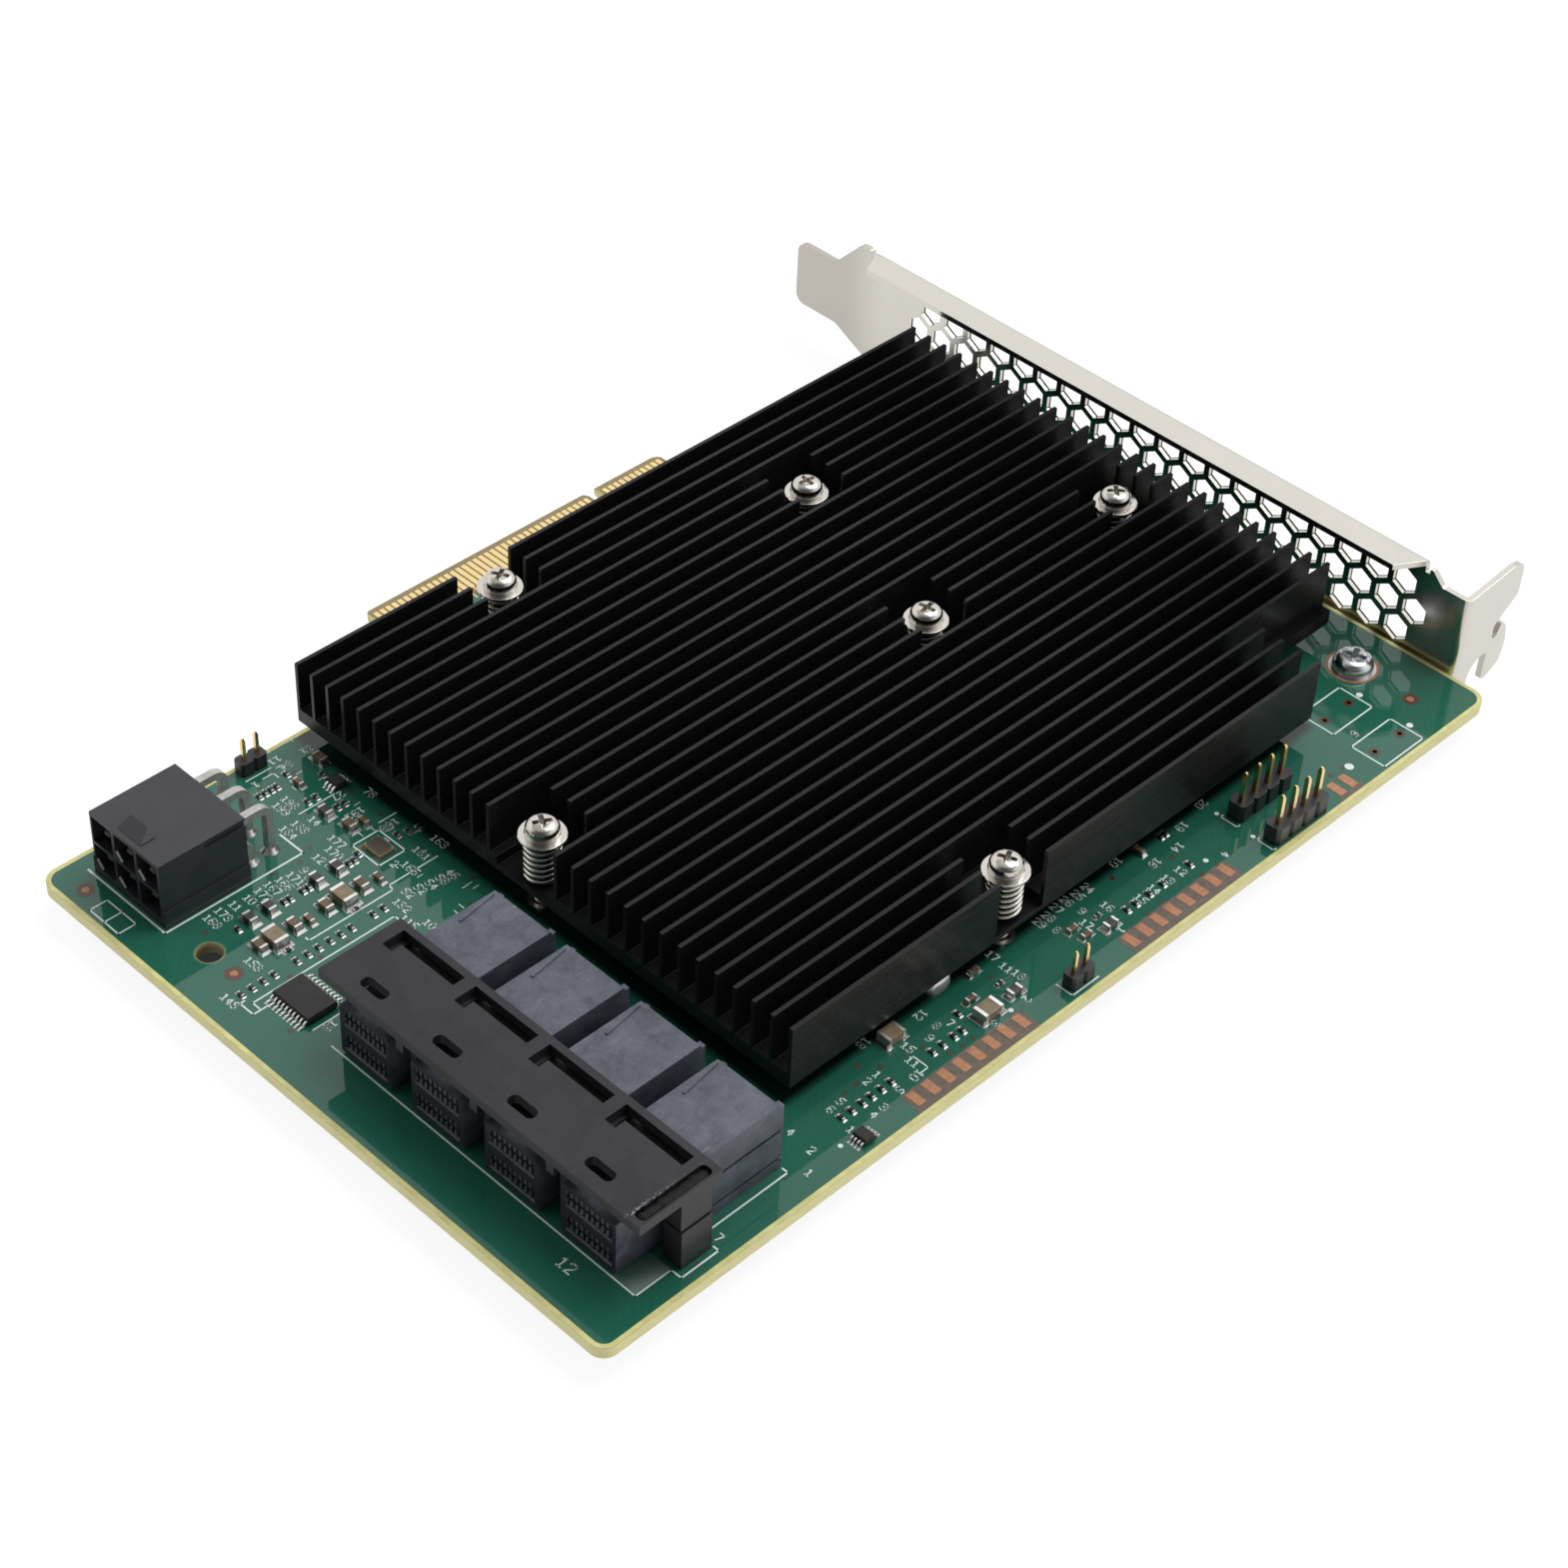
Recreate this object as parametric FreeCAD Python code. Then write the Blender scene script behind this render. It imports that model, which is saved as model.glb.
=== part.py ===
import FreeCAD, Part
import math
import os

V = FreeCAD.Vector
os.makedirs("parts", exist_ok=True)

# ---------------------------------------------------------------- dimensions
# Card coordinates while drawing, in mm: x runs to the bracket (board edge at 0),
# y runs to the edge connector, z = 0 is the board's component face.

BOARD_L = 155.65          # length from bracket edge to the port edge
BOARD_T = 1.57            # laminate thickness
BOARD_W = 97.9            # width at the port end
BOARD_WB = 102.9          # width at the bracket end
BOARD_STEP_X = -107.0     # where the width changes
TAB_Y = 111.15            # outer edge of the finger tab
TAB_NOTCH_X = -55.25      # key notch centre
TAB_NOTCH_W = 1.9
TAB_LONG = 38.65          # finger tab, far side of the notch
TAB_SHORT = 11.65         # finger tab, bracket side of the notch
HOLE_CORNER = (-148.6, 74.2)
HOLE_CORNER_R = 1.65

SINK_X0, SINK_X1 = -117.15, -6.6
SINK_Z0, SINK_ZB, SINK_Z1 = 3.1, 5.15, 12.2
POCKET_Z = 3.7            # floor of the screw pockets
FIN_Y0, FIN_PITCH, FIN_T, FIN_N = 11.6, 2.925, 0.55, 30

SCREWS = [(-79.1, 14.1), (-114.2, 55.0), (-51.8, 52.1),
          (-15.0, 52.1), (-43.7, 81.2), (-86.9, 93.2)]
SCREW_R = 1.2             # M2.5 shank, thread not cut
SCREW_HOLE_R = 1.45
FLANGE_R, FLANGE_Z0, FLANGE_Z1 = 3.0, 9.95, 10.3
HEAD_R, HEAD_Z1 = 2.1, 12.15
SPRING_OD, SPRING_WIRE, SPRING_TURNS = 4.8, 0.52, 6.5
NUT_AF, NUT_T = 5.0, 1.6

CHIPS = {"controller_chip_1": (-96.7, 34.6, 27.0),
         "controller_chip_2": (-69.4, 72.7, 27.0),
         "switch_chip": (-29.4, 66.7, 23.0)}
CHIP_TOP = 2.4

CAGE_X0, CAGE_X1 = -148.0, -136.1
CAGE_Y0, CAGE_Y1 = 2.8, 54.4
CAGE_ZP, CAGE_Z1 = 10.0, 11.3
LEG_GROOVE, LEG_IN = 6.0, 5.4   # corner legs: groove height and inner face
STRIP = (-147.2, -137.0, 3.1, 4.75)   # channel in the near end of the top plate
PORT_Y0, PORT_W, PORT_PITCH = 5.75, 9.4, 12.1
PORT_X0, PORT_X1 = -147.6, -124.5
PORT_ZF, PORT_ZR = 8.0, 10.3
PORT_FY0, PORT_FY1 = 1.0, 9.5   # front block across the port, from its near side

POWER_X0, POWER_X1 = -149.9, -137.4
POWER_Y0, POWER_Y1 = 80.6, 94.4
POWER_Z1 = 9.6
POWER_LEDGE = 2.5         # height of the wider foot of the housing
POWER_PIN = 1.1
POWER_PIN_Y = (83.3, 87.6, 91.9)

SHEET = 0.86              # bracket sheet
BR_X0 = 0.4               # bracket inner face
BR_Z0, BR_Z1 = -3.7, 14.7
BR_Y0, BR_Y1 = 6.04, 126.06
BR_BEND_R = 0.34          # inside bend radius
BR_FLANGE = 4.2
BR_TAB_X1 = 12.7
BR_TAB_ZT = 11.8          # upper edge of the fixing tab at its bend
BR_TONGUE = (-0.7, 9.5)   # tongue, lower and upper edge
BR_EARS = (16.1, 99.5)
BR_SCREW_X = -8.0
HEX_AF, HEX_PITCH = 3.5, 4.405
HEX_Z = 6.0

# Origin of the finished part: middle of the overall box, at its lowest level.
ORG = V(-(BR_TAB_X1 - BOARD_L) / 2.0, -BR_Y1 / 2.0, 5.0)


# ------------------------------------------------------------------- helpers
def box(x0, x1, y0, y1, z0, z1):
    return Part.makeBox(x1 - x0, y1 - y0, z1 - z0, V(x0, y0, z0))


def cyl(x, y, z0, z1, r):
    return Part.makeCylinder(r, z1 - z0, V(x, y, z0), V(0, 0, 1))


def to3(u, v, plane, w):
    if plane == "xy":
        return V(u, v, w)
    if plane == "yz":
        return V(w, u, v)
    return V(u, w, v)


def outline(points, plane, w):
    """Closed wire through corners (u, v, r), each corner rounded by r."""
    pts = [(p[0], p[1], p[2] if len(p) > 2 else 0.0) for p in points]
    n = len(pts)
    seg = []
    for i in range(n):
        pu, pv, _ = pts[i - 1]
        u, v, r = pts[i]
        nu, nv, _ = pts[(i + 1) % n]
        if r <= 0:
            seg.append(((u, v), None, (u, v)))
            continue
        a = math.hypot(pu - u, pv - v)
        b = math.hypot(nu - u, nv - v)
        d1 = ((pu - u) / a, (pv - v) / a)
        d2 = ((nu - u) / b, (nv - v) / b)
        c = max(-1.0, min(1.0, d1[0] * d2[0] + d1[1] * d2[1]))
        half = math.acos(c) / 2.0
        t = r / math.tan(half)
        s = (u + d1[0] * t, v + d1[1] * t)
        e = (u + d2[0] * t, v + d2[1] * t)
        bl = math.hypot(d1[0] + d2[0], d1[1] + d2[1])
        bx, by = (d1[0] + d2[0]) / bl, (d1[1] + d2[1]) / bl
        h = r / math.sin(half)
        m = (u + bx * (h - r), v + by * (h - r))
        seg.append((s, m, e))
    edges = []
    for i in range(n):
        s, m, e = seg[i]
        ns = seg[(i + 1) % n][0]
        if m is not None:
            edges.append(Part.Arc(to3(*s, plane, w), to3(*m, plane, w), to3(*e, plane, w)).toShape())
        p, q = to3(*e, plane, w), to3(*ns, plane, w)
        if (p - q).Length > 1e-6:
            edges.append(Part.LineSegment(p, q).toShape())
    return Part.Wire(edges)


def prism(points, plane, a, b):
    face = Part.Face(outline(points, plane, a))
    d = {"xy": V(0, 0, b - a), "yz": V(b - a, 0, 0), "xz": V(0, b - a, 0)}[plane]
    return face.extrude(d)


def turned(profile, x, y):
    """Solid of revolution about the vertical through (x, y) from (r, z) points."""
    pts = [V(x + r, y, z) for r, z in profile]
    face = Part.Face(Part.makePolygon(pts + [pts[0]]))
    return face.revolve(V(x, y, 0), V(0, 0, 1), 360)


def cross_recess(x, y, z, w, span, depth, turn):
    """Tapered cross recess tool, open at height z."""
    tool = None
    for k in range(2):
        top = [V(-span / 2, -w / 2, 0), V(span / 2, -w / 2, 0), V(span / 2, w / 2, 0), V(-span / 2, w / 2, 0)]
        s = 0.45
        bot = [V(p.x * s, p.y * 0.7, -depth) for p in top]
        top = [V(p.x * 1.04, p.y * 1.04, 0.05) for p in top]
        loft = Part.makeLoft([Part.makePolygon(bot + [bot[0]]), Part.makePolygon(top + [top[0]])], True, True)
        loft.rotate(V(0, 0, 0), V(0, 0, 1), turn + 90 * k)
        loft.translate(V(x, y, z))
        tool = loft if tool is None else tool.fuse(loft)
    return tool


def one(shape):
    """The single solid of a boolean result."""
    s = shape.removeSplitter()
    return s.Solids[0] if len(s.Solids) == 1 else s


def export(name, shapes):
    if isinstance(shapes, (list, tuple)):
        solids = []
        for s in shapes:
            solids += s.Solids
        shape = solids[0] if len(solids) == 1 else Part.makeCompound(solids)
    else:
        shape = shapes
        if len(shape.Solids) == 1:
            shape = shape.Solids[0]
    shape = shape.copy()
    shape.translate(ORG)
    shape.exportStep("parts/%s.step" % name)


# ------------------------------------------------------------- circuit board
nx0 = TAB_NOTCH_X - TAB_NOTCH_W / 2
nx1 = TAB_NOTCH_X + TAB_NOTCH_W / 2
board = prism([
    (-BOARD_L, 0, 2.0), (0, 0, 2.5), (0, BOARD_WB, 1.5),
    (nx1 + TAB_SHORT, BOARD_WB, 0.8), (nx1 + TAB_SHORT, TAB_Y, 1.0),
    (nx1, TAB_Y, 0.3), (nx1, 103.4, 0.94), (nx0, 103.4, 0.94), (nx0, TAB_Y, 0.3),
    (nx0 - TAB_LONG, TAB_Y, 1.0), (nx0 - TAB_LONG, BOARD_WB, 0.8),
    (BOARD_STEP_X, BOARD_WB, 1.0), (BOARD_STEP_X, BOARD_W, 1.0), (-BOARD_L, BOARD_W, 2.5),
], "xy", -BOARD_T, 0)
# insertion bevel on both faces of the finger edge
for zs in (0.0, -BOARD_T):
    sgn = -1 if zs == 0.0 else 1
    bevel = prism([(TAB_Y - 1.25, zs), (TAB_Y + 0.5, zs), (TAB_Y + 0.5, zs + sgn * 0.62)], "yz", -100, -40)
    board = board.cut(bevel)

LED_HOLES = [(-19.4, 11.8), (-14.3, 11.9), (-19.6, 3.7), (-14.4, 3.7)]
HEADERS = {"a": (2.2, (-41.65, -39.1, -36.6, -34.0)), "b": (7.9, (-41.65, -39.1, -36.6, -34.0))}
JUMPERS = {"a": (2.5, (-79.2, -77.2)), "b": (96.5, (-125.9, -123.9))}
POWER_ROWS = ((7.05, -132.5), (3.15, -135.6))

drills = [cyl(HOLE_CORNER[0], HOLE_CORNER[1], -3, 1, HOLE_CORNER_R)]
drills += [cyl(x, y, -3, 1, SCREW_HOLE_R) for x, y in SCREWS]
drills += [cyl(BR_SCREW_X, y, -3, 1, 1.6) for y in BR_EARS]
drills += [cyl(x, y, -3, 1, 0.4) for x, y in LED_HOLES]
for y, xs in HEADERS.values():
    drills += [cyl(x, y, -3, 1, 0.5) for x in xs]
for y, xs in JUMPERS.values():
    drills += [cyl(x, y, -3, 1, 0.4) for x in xs]
for z, x in POWER_ROWS:
    drills += [cyl(x, y, -3, 1, 0.85) for y in POWER_PIN_Y]
board = one(board.cut(Part.makeCompound(drills)))
export("circuit_board", board)

# ----------------------------------------------------------------- heat sink
y_first = FIN_Y0 - FIN_T / 2
y_last = FIN_Y0 + FIN_PITCH * (FIN_N - 1) + FIN_T / 2
comb = [(y_first, SINK_Z0), (y_last, SINK_Z0)]
for k in reversed(range(FIN_N)):
    c = FIN_Y0 + FIN_PITCH * k
    comb += [(c + FIN_T / 2, SINK_Z1), (c - FIN_T / 2, SINK_Z1)]
    if k:
        comb += [(c - FIN_T / 2, SINK_ZB), (c - FIN_PITCH + FIN_T / 2, SINK_ZB)]
sink = prism(comb, "yz", SINK_X0, SINK_X1)
POCKETS = [(-91.4, -82.5, 89.1, 98), (-47.6, -39.4, 77.4, 86.2), (-55.6, -47.3, 48.15, 56.95),
           (-18.9, -10.7, 48.15, 56.95), (-118, -109.7, 51.1, 59.85), (-83.2, -75.0, 11, 18.9)]
cuts = [box(a, b, c, d, POCKET_Z, 13) for a, b, c, d in POCKETS]
cuts.append(box(-23.6, -6, 11, 21.75, 3, 13))
cuts += [cyl(x, y, 3, 6, SCREW_HOLE_R) for x, y in SCREWS]
sink = sink.cut(Part.makeCompound(cuts))
export("heat_sink", one(sink))

# ------------------------------------------- spring screws, springs and nuts
screws, springs, nuts = [], [], []
for i, (x, y) in enumerate(SCREWS):
    prof = [(0, -BOARD_T - NUT_T + 0.2), (SCREW_R - 0.25, -BOARD_T - NUT_T + 0.2), (SCREW_R, -BOARD_T - NUT_T + 0.45),
            (SCREW_R, FLANGE_Z0), (FLANGE_R - 0.08, FLANGE_Z0), (FLANGE_R, FLANGE_Z0 + 0.08),
            (FLANGE_R, FLANGE_Z1 - 0.1), (FLANGE_R - 0.1, FLANGE_Z1), (HEAD_R + 0.1, FLANGE_Z1),
            (HEAD_R + 0.1, FLANGE_Z1 + 0.25), (HEAD_R, FLANGE_Z1 + 0.33), (HEAD_R, HEAD_Z1 - 0.85),
            (HEAD_R - 0.07, HEAD_Z1 - 0.62), (HEAD_R - 0.24, HEAD_Z1 - 0.38), (HEAD_R - 0.52, HEAD_Z1 - 0.18),
            (HEAD_R - 0.9, HEAD_Z1 - 0.05), (HEAD_R - 1.35, HEAD_Z1), (0, HEAD_Z1)]
    s = turned(prof, x, y).cut(cross_recess(x, y, HEAD_Z1, 0.62, 2.5, 1.1, 25 + 37 * i))
    screws.append(s)
    rm = (SPRING_OD - SPRING_WIRE) / 2
    z0 = POCKET_Z + SPRING_WIRE / 2 + 0.01
    h = FLANGE_Z0 - POCKET_Z - SPRING_WIRE - 0.02
    helix = Part.makeHelix(h / SPRING_TURNS, h, rm)
    start = V(rm, 0, 0)
    # twelve-sided wire section, square to the coil
    tilt = math.atan2(h / SPRING_TURNS, 2 * math.pi * rm)
    ring = []
    for m in range(12):
        a = math.radians(30 * m + 15)
        u, v = SPRING_WIRE / 2 * math.cos(a), SPRING_WIRE / 2 * math.sin(a)
        ring.append(start + V(u, -v * math.sin(tilt), v * math.cos(tilt)))
    section = Part.makePolygon(ring + [ring[0]])
    coil = Part.Wire(helix).makePipeShell([section], True, True)
    coil.rotate(V(0, 0, 0), V(0, 0, 1), 60 * i)
    coil.translate(V(x, y, z0))
    springs.append(coil)
    r = NUT_AF / math.sqrt(3)
    hexa = [(x + r * math.cos(math.radians(60 * k + 15 * i)), y + r * math.sin(math.radians(60 * k + 15 * i))) for k in range(6)]
    nut = prism(hexa, "xy", -BOARD_T - NUT_T, -BOARD_T)
    nut = nut.common(turned([(0, -BOARD_T - NUT_T), (NUT_AF / 2 + 0.05, -BOARD_T - NUT_T), (r + 0.02, -BOARD_T - NUT_T + 0.3),
                             (r + 0.02, -BOARD_T), (0, -BOARD_T)], x, y))
    nuts.append(nut.cut(cyl(x, y, -4, 0, SCREW_R + 0.05)))
export("heatsink_screws", screws)
export("heatsink_springs", springs)
export("heatsink_nuts", nuts)

# ---------------------------------------------- chips and pads under the sink
for n, (name, (x, y, a)) in enumerate(CHIPS.items()):
    h = a / 2
    chip = box(x - h + 1, x + h - 1, y - h + 1, y + h - 1, 0, 0.45)
    chip = chip.fuse(box(x - h, x + h, y - h, y + h, 0.4, 1.3))
    chip = chip.fuse(box(x - h + 1.5, x + h - 1.5, y - h + 1.5, y + h - 1.5, 1.3, CHIP_TOP))
    export(name, one(chip))
    export("thermal_pad_%d" % (n + 1), box(x - h + 2, x + h - 2, y - h + 2, y + h - 2, CHIP_TOP, SINK_Z0))

# ----------------------------------------------------- storage connector cage
cage = box(CAGE_X0, CAGE_X1, CAGE_Y0, CAGE_Y1, CAGE_ZP, CAGE_Z1)
# dividers between ports
for k in range(3):
    yc = PORT_Y0 + PORT_W + PORT_PITCH * k
    cage = cage.fuse(box(CAGE_X0 + 2.0, CAGE_X1, yc + 0.75, yc + 1.95, 0, CAGE_ZP))
    cage = cage.fuse(box(CAGE_X0, CAGE_X0 + 0.7, yc + 0.75, yc + 1.95, 8.6, CAGE_ZP))
# pillars, legs and feet at both ends
for s in (0, 1):
    def ys(a, b):
        return (a, b) if s == 0 else (CAGE_Y0 + CAGE_Y1 - b, CAGE_Y0 + CAGE_Y1 - a)
    y0, y1 = ys(4.0, LEG_IN)
    cage = cage.fuse(box(-139.6, CAGE_X1, y0, y1, 0, CAGE_ZP))
    y0, y1 = ys(CAGE_Y0, LEG_IN)
    cage = cage.fuse(box(-142.0, -137.5, y0, y1, LEG_GROOVE, CAGE_ZP))
    y0, y1 = ys(CAGE_Y0 - 0.15, LEG_IN)
    cage = cage.fuse(box(-142.0, -137.5, y0, y1, 0, LEG_GROOVE - 0.3))
    y0, y1 = ys(CAGE_Y0 + 0.25, LEG_IN)
    cage = cage.fuse(box(-141.8, -137.7, y0, y1, LEG_GROOVE - 0.4, LEG_GROOVE + 0.1))
# shelf below the windows
cage = cage.fuse(box(-141.0, CAGE_X1, CAGE_Y0 + 1.4, CAGE_Y1 - 1.4, 8.75, 9.1))
# channel, slots and L-shaped windows of the top plate
cage = cage.cut(prism([(STRIP[0], STRIP[2], 0.6), (STRIP[1], STRIP[2], 0.6), (STRIP[1], STRIP[3], 0.6), (STRIP[0], STRIP[3], 0.6)],
                      "xy", CAGE_Z1 - 0.75, CAGE_Z1 + 0.1))
for k in range(4):
    yo = PORT_PITCH * k
    cage = cage.cut(prism([(-146.2, 9.5 + yo, 0.7), (-144.6, 9.5 + yo, 0.7), (-144.6, 13.5 + yo, 0.7), (-146.2, 13.5 + yo, 0.7)],
                          "xy", CAGE_ZP - 0.1, CAGE_Z1 + 0.1))
    cage = cage.cut(prism([(-138.85, 6.05 + yo), (-137.1, 6.05 + yo), (-137.1, 16.35 + yo), (-140.3, 16.35 + yo),
                           (-140.3, 14.7 + yo), (-138.85, 14.7 + yo)], "xy", CAGE_ZP - 0.1, CAGE_Z1 + 0.1))
export("sas_cage", one(cage))

# ------------------------------------------------------------- storage ports
CONTACT_N, CONTACT_PITCH = 9, 0.8
SLOTS_Z = ((5.1, 7.2), (1.3, 3.4))
for k in range(4):
    y0 = PORT_Y0 + PORT_PITCH * k
    y1 = y0 + PORT_W
    f0, f1 = y0 + PORT_FY0, y0 + PORT_FY1
    yc = (f0 + f1) / 2
    port = prism([(f0, 0.4, 0.0), (f1, 0.4, 0.0), (f1, PORT_ZF, 0.5), (f0, PORT_ZF, 0.5)], "yz", PORT_X0, -135.0)
    rear = prism([(-136.0, 0.0), (PORT_X1, 0.0), (PORT_X1, PORT_ZR, 0.4), (-136.0, PORT_ZR)], "xz", y0, y1)
    port = port.fuse(rear)
    # lugs at the rear corners
    port = port.fuse(box(PORT_X1 - 0.3, PORT_X1 + 0.6, y0, y0 + 0.9, 0.0, PORT_ZR - 0.5))
    port = port.fuse(box(PORT_X1 - 0.3, PORT_X1 + 0.6, y1 - 0.7, y1, 0.0, PORT_ZR - 0.9))
    # slanted rib on the rear top
    port = port.fuse(prism([(-131.0, y1 - 1.35), (-125.2, y1 - 0.55), (-125.2, y1 - 0.2), (-131.0, y1 - 1.0)],
                           "xy", PORT_ZR - 0.2, PORT_ZR + 0.18))
    # card slots
    for za, zb in SLOTS_Z:
        port = port.cut(box(PORT_X0 - 1, -138.6, f0 + 0.6, f1 - 0.6, za, zb))
        # lead-in of each slot
        port = port.cut(prism([(PORT_X0 - 0.1, za - 0.25), (PORT_X0 + 0.35, za), (PORT_X0 + 0.35, zb), (PORT_X0 - 0.1, zb + 0.25)],
                              "xz", f0 + 0.6, f1 - 0.6))
    # grooves along both sides of the rear block
    for zg in (5.8, 1.4):
        port = port.cut(box(-134.6, PORT_X1 + 0.7, y0 - 0.1, y0 + 0.25, zg, zg + 0.45))
        port = port.cut(box(-134.6, PORT_X1 + 0.7, y1 - 0.25, y1 + 0.1, zg, zg + 0.45))
    export("sas_port_%d" % (k + 1), one(port))
    contacts = []
    for za, zb in SLOTS_Z:
        for j in range(CONTACT_N):
            yy = yc + (j - (CONTACT_N - 1) / 2) * CONTACT_PITCH
            for up in (0, 1):
                prof = [(-146.6, 0.0), (-138.6, 0.0), (-138.6, 0.2), (-144.4, 0.55), (-145.2, 0.72), (-145.9, 0.55), (-146.6, 0.25)]
                zz = [(x, za + h) for x, h in prof] if not up else [(x, zb - h) for x, h in prof]
                contacts.append(prism(zz, "xz", yy - 0.17, yy + 0.17))
    export("sas_contacts_%d" % (k + 1), contacts)

# ----------------------------------------------------- power header and pins
house = box(POWER_X0, POWER_X1, POWER_Y0, POWER_Y1, 0, POWER_LEDGE)
house = house.fuse(box(POWER_X0, POWER_X1, POWER_Y0 + 0.3, POWER_Y1 - 0.3, 0, POWER_Z1))
cells = []
for row, (zc0, zc1) in enumerate(((5.2, 9.05), (1.1, 4.75))):
    for j, yc in enumerate(POWER_PIN_Y):
        y0, y1 = yc - 1.9, yc + 1.9
        # keyed cells have one corner cut
        cut = 1.0 if (row, j) in ((0, 0), (0, 1), (1, 1), (1, 2)) else 0.0
        if cut:
            pts = [(y0, zc0, 0.15), (y1 - cut, zc0), (y1, zc0 + cut), (y1, zc1, 0.15), (y0, zc1, 0.15)]
        else:
            pts = [(y0, zc0, 0.15), (y1, zc0, 0.15), (y1, zc1, 0.15), (y0, zc1, 0.15)]
        cells.append(prism(pts, "yz", POWER_X0 - 1, -139.6))
house = house.cut(Part.makeCompound(cells))
# latch wedge with one sloping end
wedge = prism([(-149.2, POWER_Z1 - 0.2), (-147.0, POWER_Z1 - 0.2), (-147.0, POWER_Z1 + 0.75), (-147.2, POWER_Z1 + 0.95),
               (-149.2, POWER_Z1 + 0.05)], "xz", 85.2, 89.5)
wedge = wedge.common(prism([(85.2, POWER_Z1 - 0.2), (89.5, POWER_Z1 - 0.2), (89.5, POWER_Z1 + 1.2), (86.6, POWER_Z1 + 1.2),
                            (85.2, POWER_Z1 + 0.1)], "yz", -150, -146))
house = house.fuse(wedge)
# recess at the top rear corners
for ya, yb in ((POWER_Y0 - 0.1, POWER_Y0 + 0.6), (POWER_Y1 - 0.6, POWER_Y1 + 0.1)):
    house = house.cut(box(-143.3, POWER_X1 + 0.1, ya, yb, 8.45, 9.3))
pins = []
for zr, xr in POWER_ROWS:
    for yc in POWER_PIN_Y:
        h = POWER_PIN / 2
        pts = [(-149.2, zr - 0.3), (-148.9, zr - h), (xr - h, zr - h, 0.9), (xr - h, -3.0), (xr - 0.3, -3.3), (xr + 0.3, -3.3),
               (xr + h, -3.0), (xr + h, zr + h, 2.0), (-148.7, zr + h), (-149.2, zr + 0.05)]
        pins.append(prism(pts, "xz", yc - h, yc + h))
house = house.cut(Part.makeCompound(pins))
export("power_housing", one(house))
export("power_pins", pins)


# --------------------------------------------------------------- pin headers
def header(tag_base, tag_pins, y, xs, pitch, height, tip, half):
    x0, x1 = xs[0] - pitch / 2, xs[-1] + pitch / 2
    w = pitch / 2
    c = pitch * 0.17
    base = None
    for x in xs:
        cell = prism([(x - w, y - w + c), (x - w + c, y - w), (x + w - c, y - w), (x + w, y - w + c),
                      (x + w, y + w - c), (x + w - c, y + w), (x - w + c, y + w), (x - w, y + w - c)], "xy", 0, height)
        base = cell if base is None else base.fuse(cell)
    base = base.fuse(box(x0 + w, x1 - w, y - w * 0.7, y + w * 0.7, 0.0, height))
    pp = []
    for x in xs:
        body = box(x - half, x + half, y - half, y + half, -2.9, tip - 0.5)
        for za, zb in ((tip - 0.5, tip), (-2.9, -3.2)):
            a = Part.makePolygon([V(x - half, y - half, za), V(x + half, y - half, za), V(x + half, y + half, za), V(x - half, y + half, za), V(x - half, y - half, za)])
            q = half * 0.45
            b = Part.makePolygon([V(x - q, y - q, zb), V(x + q, y - q, zb), V(x + q, y + q, zb), V(x - q, y + q, zb), V(x - q, y - q, zb)])
            body = body.fuse(Part.makeLoft([a, b], True, True))
        pp.append(one(body))
    base = base.cut(Part.makeCompound(pp))
    export(tag_base, one(base))
    export(tag_pins, pp)


for t, (y, xs) in HEADERS.items():
    header("header_base_" + t, "header_pins_" + t, y, xs, 2.54, 2.54, 6.9, 0.32)
for t, (y, xs) in JUMPERS.items():
    header("jumper_base_" + t, "jumper_pins_" + t, y, xs, 2.0, 2.0, 5.3, 0.25)

# ------------------------------------------------------------------- bracket
xi, xo = BR_X0, BR_X0 + SHEET
ro = BR_BEND_R + SHEET
zt = BR_Z1 - ro                      # where the long flange's bend begins
yf0, yf1 = 13.2, 110.6               # long flange
face = prism([
    (BR_Y0 + ro, BR_Z0), (112.0, BR_Z0, 2.0), (118.0, BR_TONGUE[0], 1.5), (BR_Y1, BR_TONGUE[0], 1.6), (BR_Y1, BR_TONGUE[1], 1.6),
    (118.5, BR_TONGUE[1], 1.2), (113.6, BR_Z1 - 0.1, 1.4), (111.5, BR_Z1 - 0.1, 0.4), (111.5, zt - 0.7, 0.2), (yf1, zt - 0.7, 0.2), (yf1, zt),
    (yf0, zt), (yf0, zt - 0.7, 0.2), (12.5, zt - 0.7, 0.2), (12.5, BR_Z1 - 0.7, 0.3), (10.3, BR_TAB_ZT, 1.0), (BR_Y0 + ro, BR_TAB_ZT)],
    "yz", xi, xo)


def bend_profile(cx, cz, dirx, dirz, length):
    """Section of a folded strip: quarter bend about (cx, cz), then a flat leg."""
    ri, rr = BR_BEND_R, BR_BEND_R + SHEET
    s = math.sqrt(0.5)
    ex = cx - dirx * 0
    e = []
    p_in0, p_in1 = (cx + dirx * ri, cz), (cx, cz + dirz * ri)
    p_out0, p_out1 = (cx + dirx * rr, cz), (cx, cz + dirz * rr)
    end_in, end_out = (cx - dirx * length, cz + dirz * ri), (cx - dirx * length, cz + dirz * rr)
    mi = (cx + dirx * ri * s, cz + dirz * ri * s)
    mo = (cx + dirx * rr * s, cz + dirz * rr * s)
    return p_in0, mi, p_in1, end_in, end_out, p_out1, mo, p_out0


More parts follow.
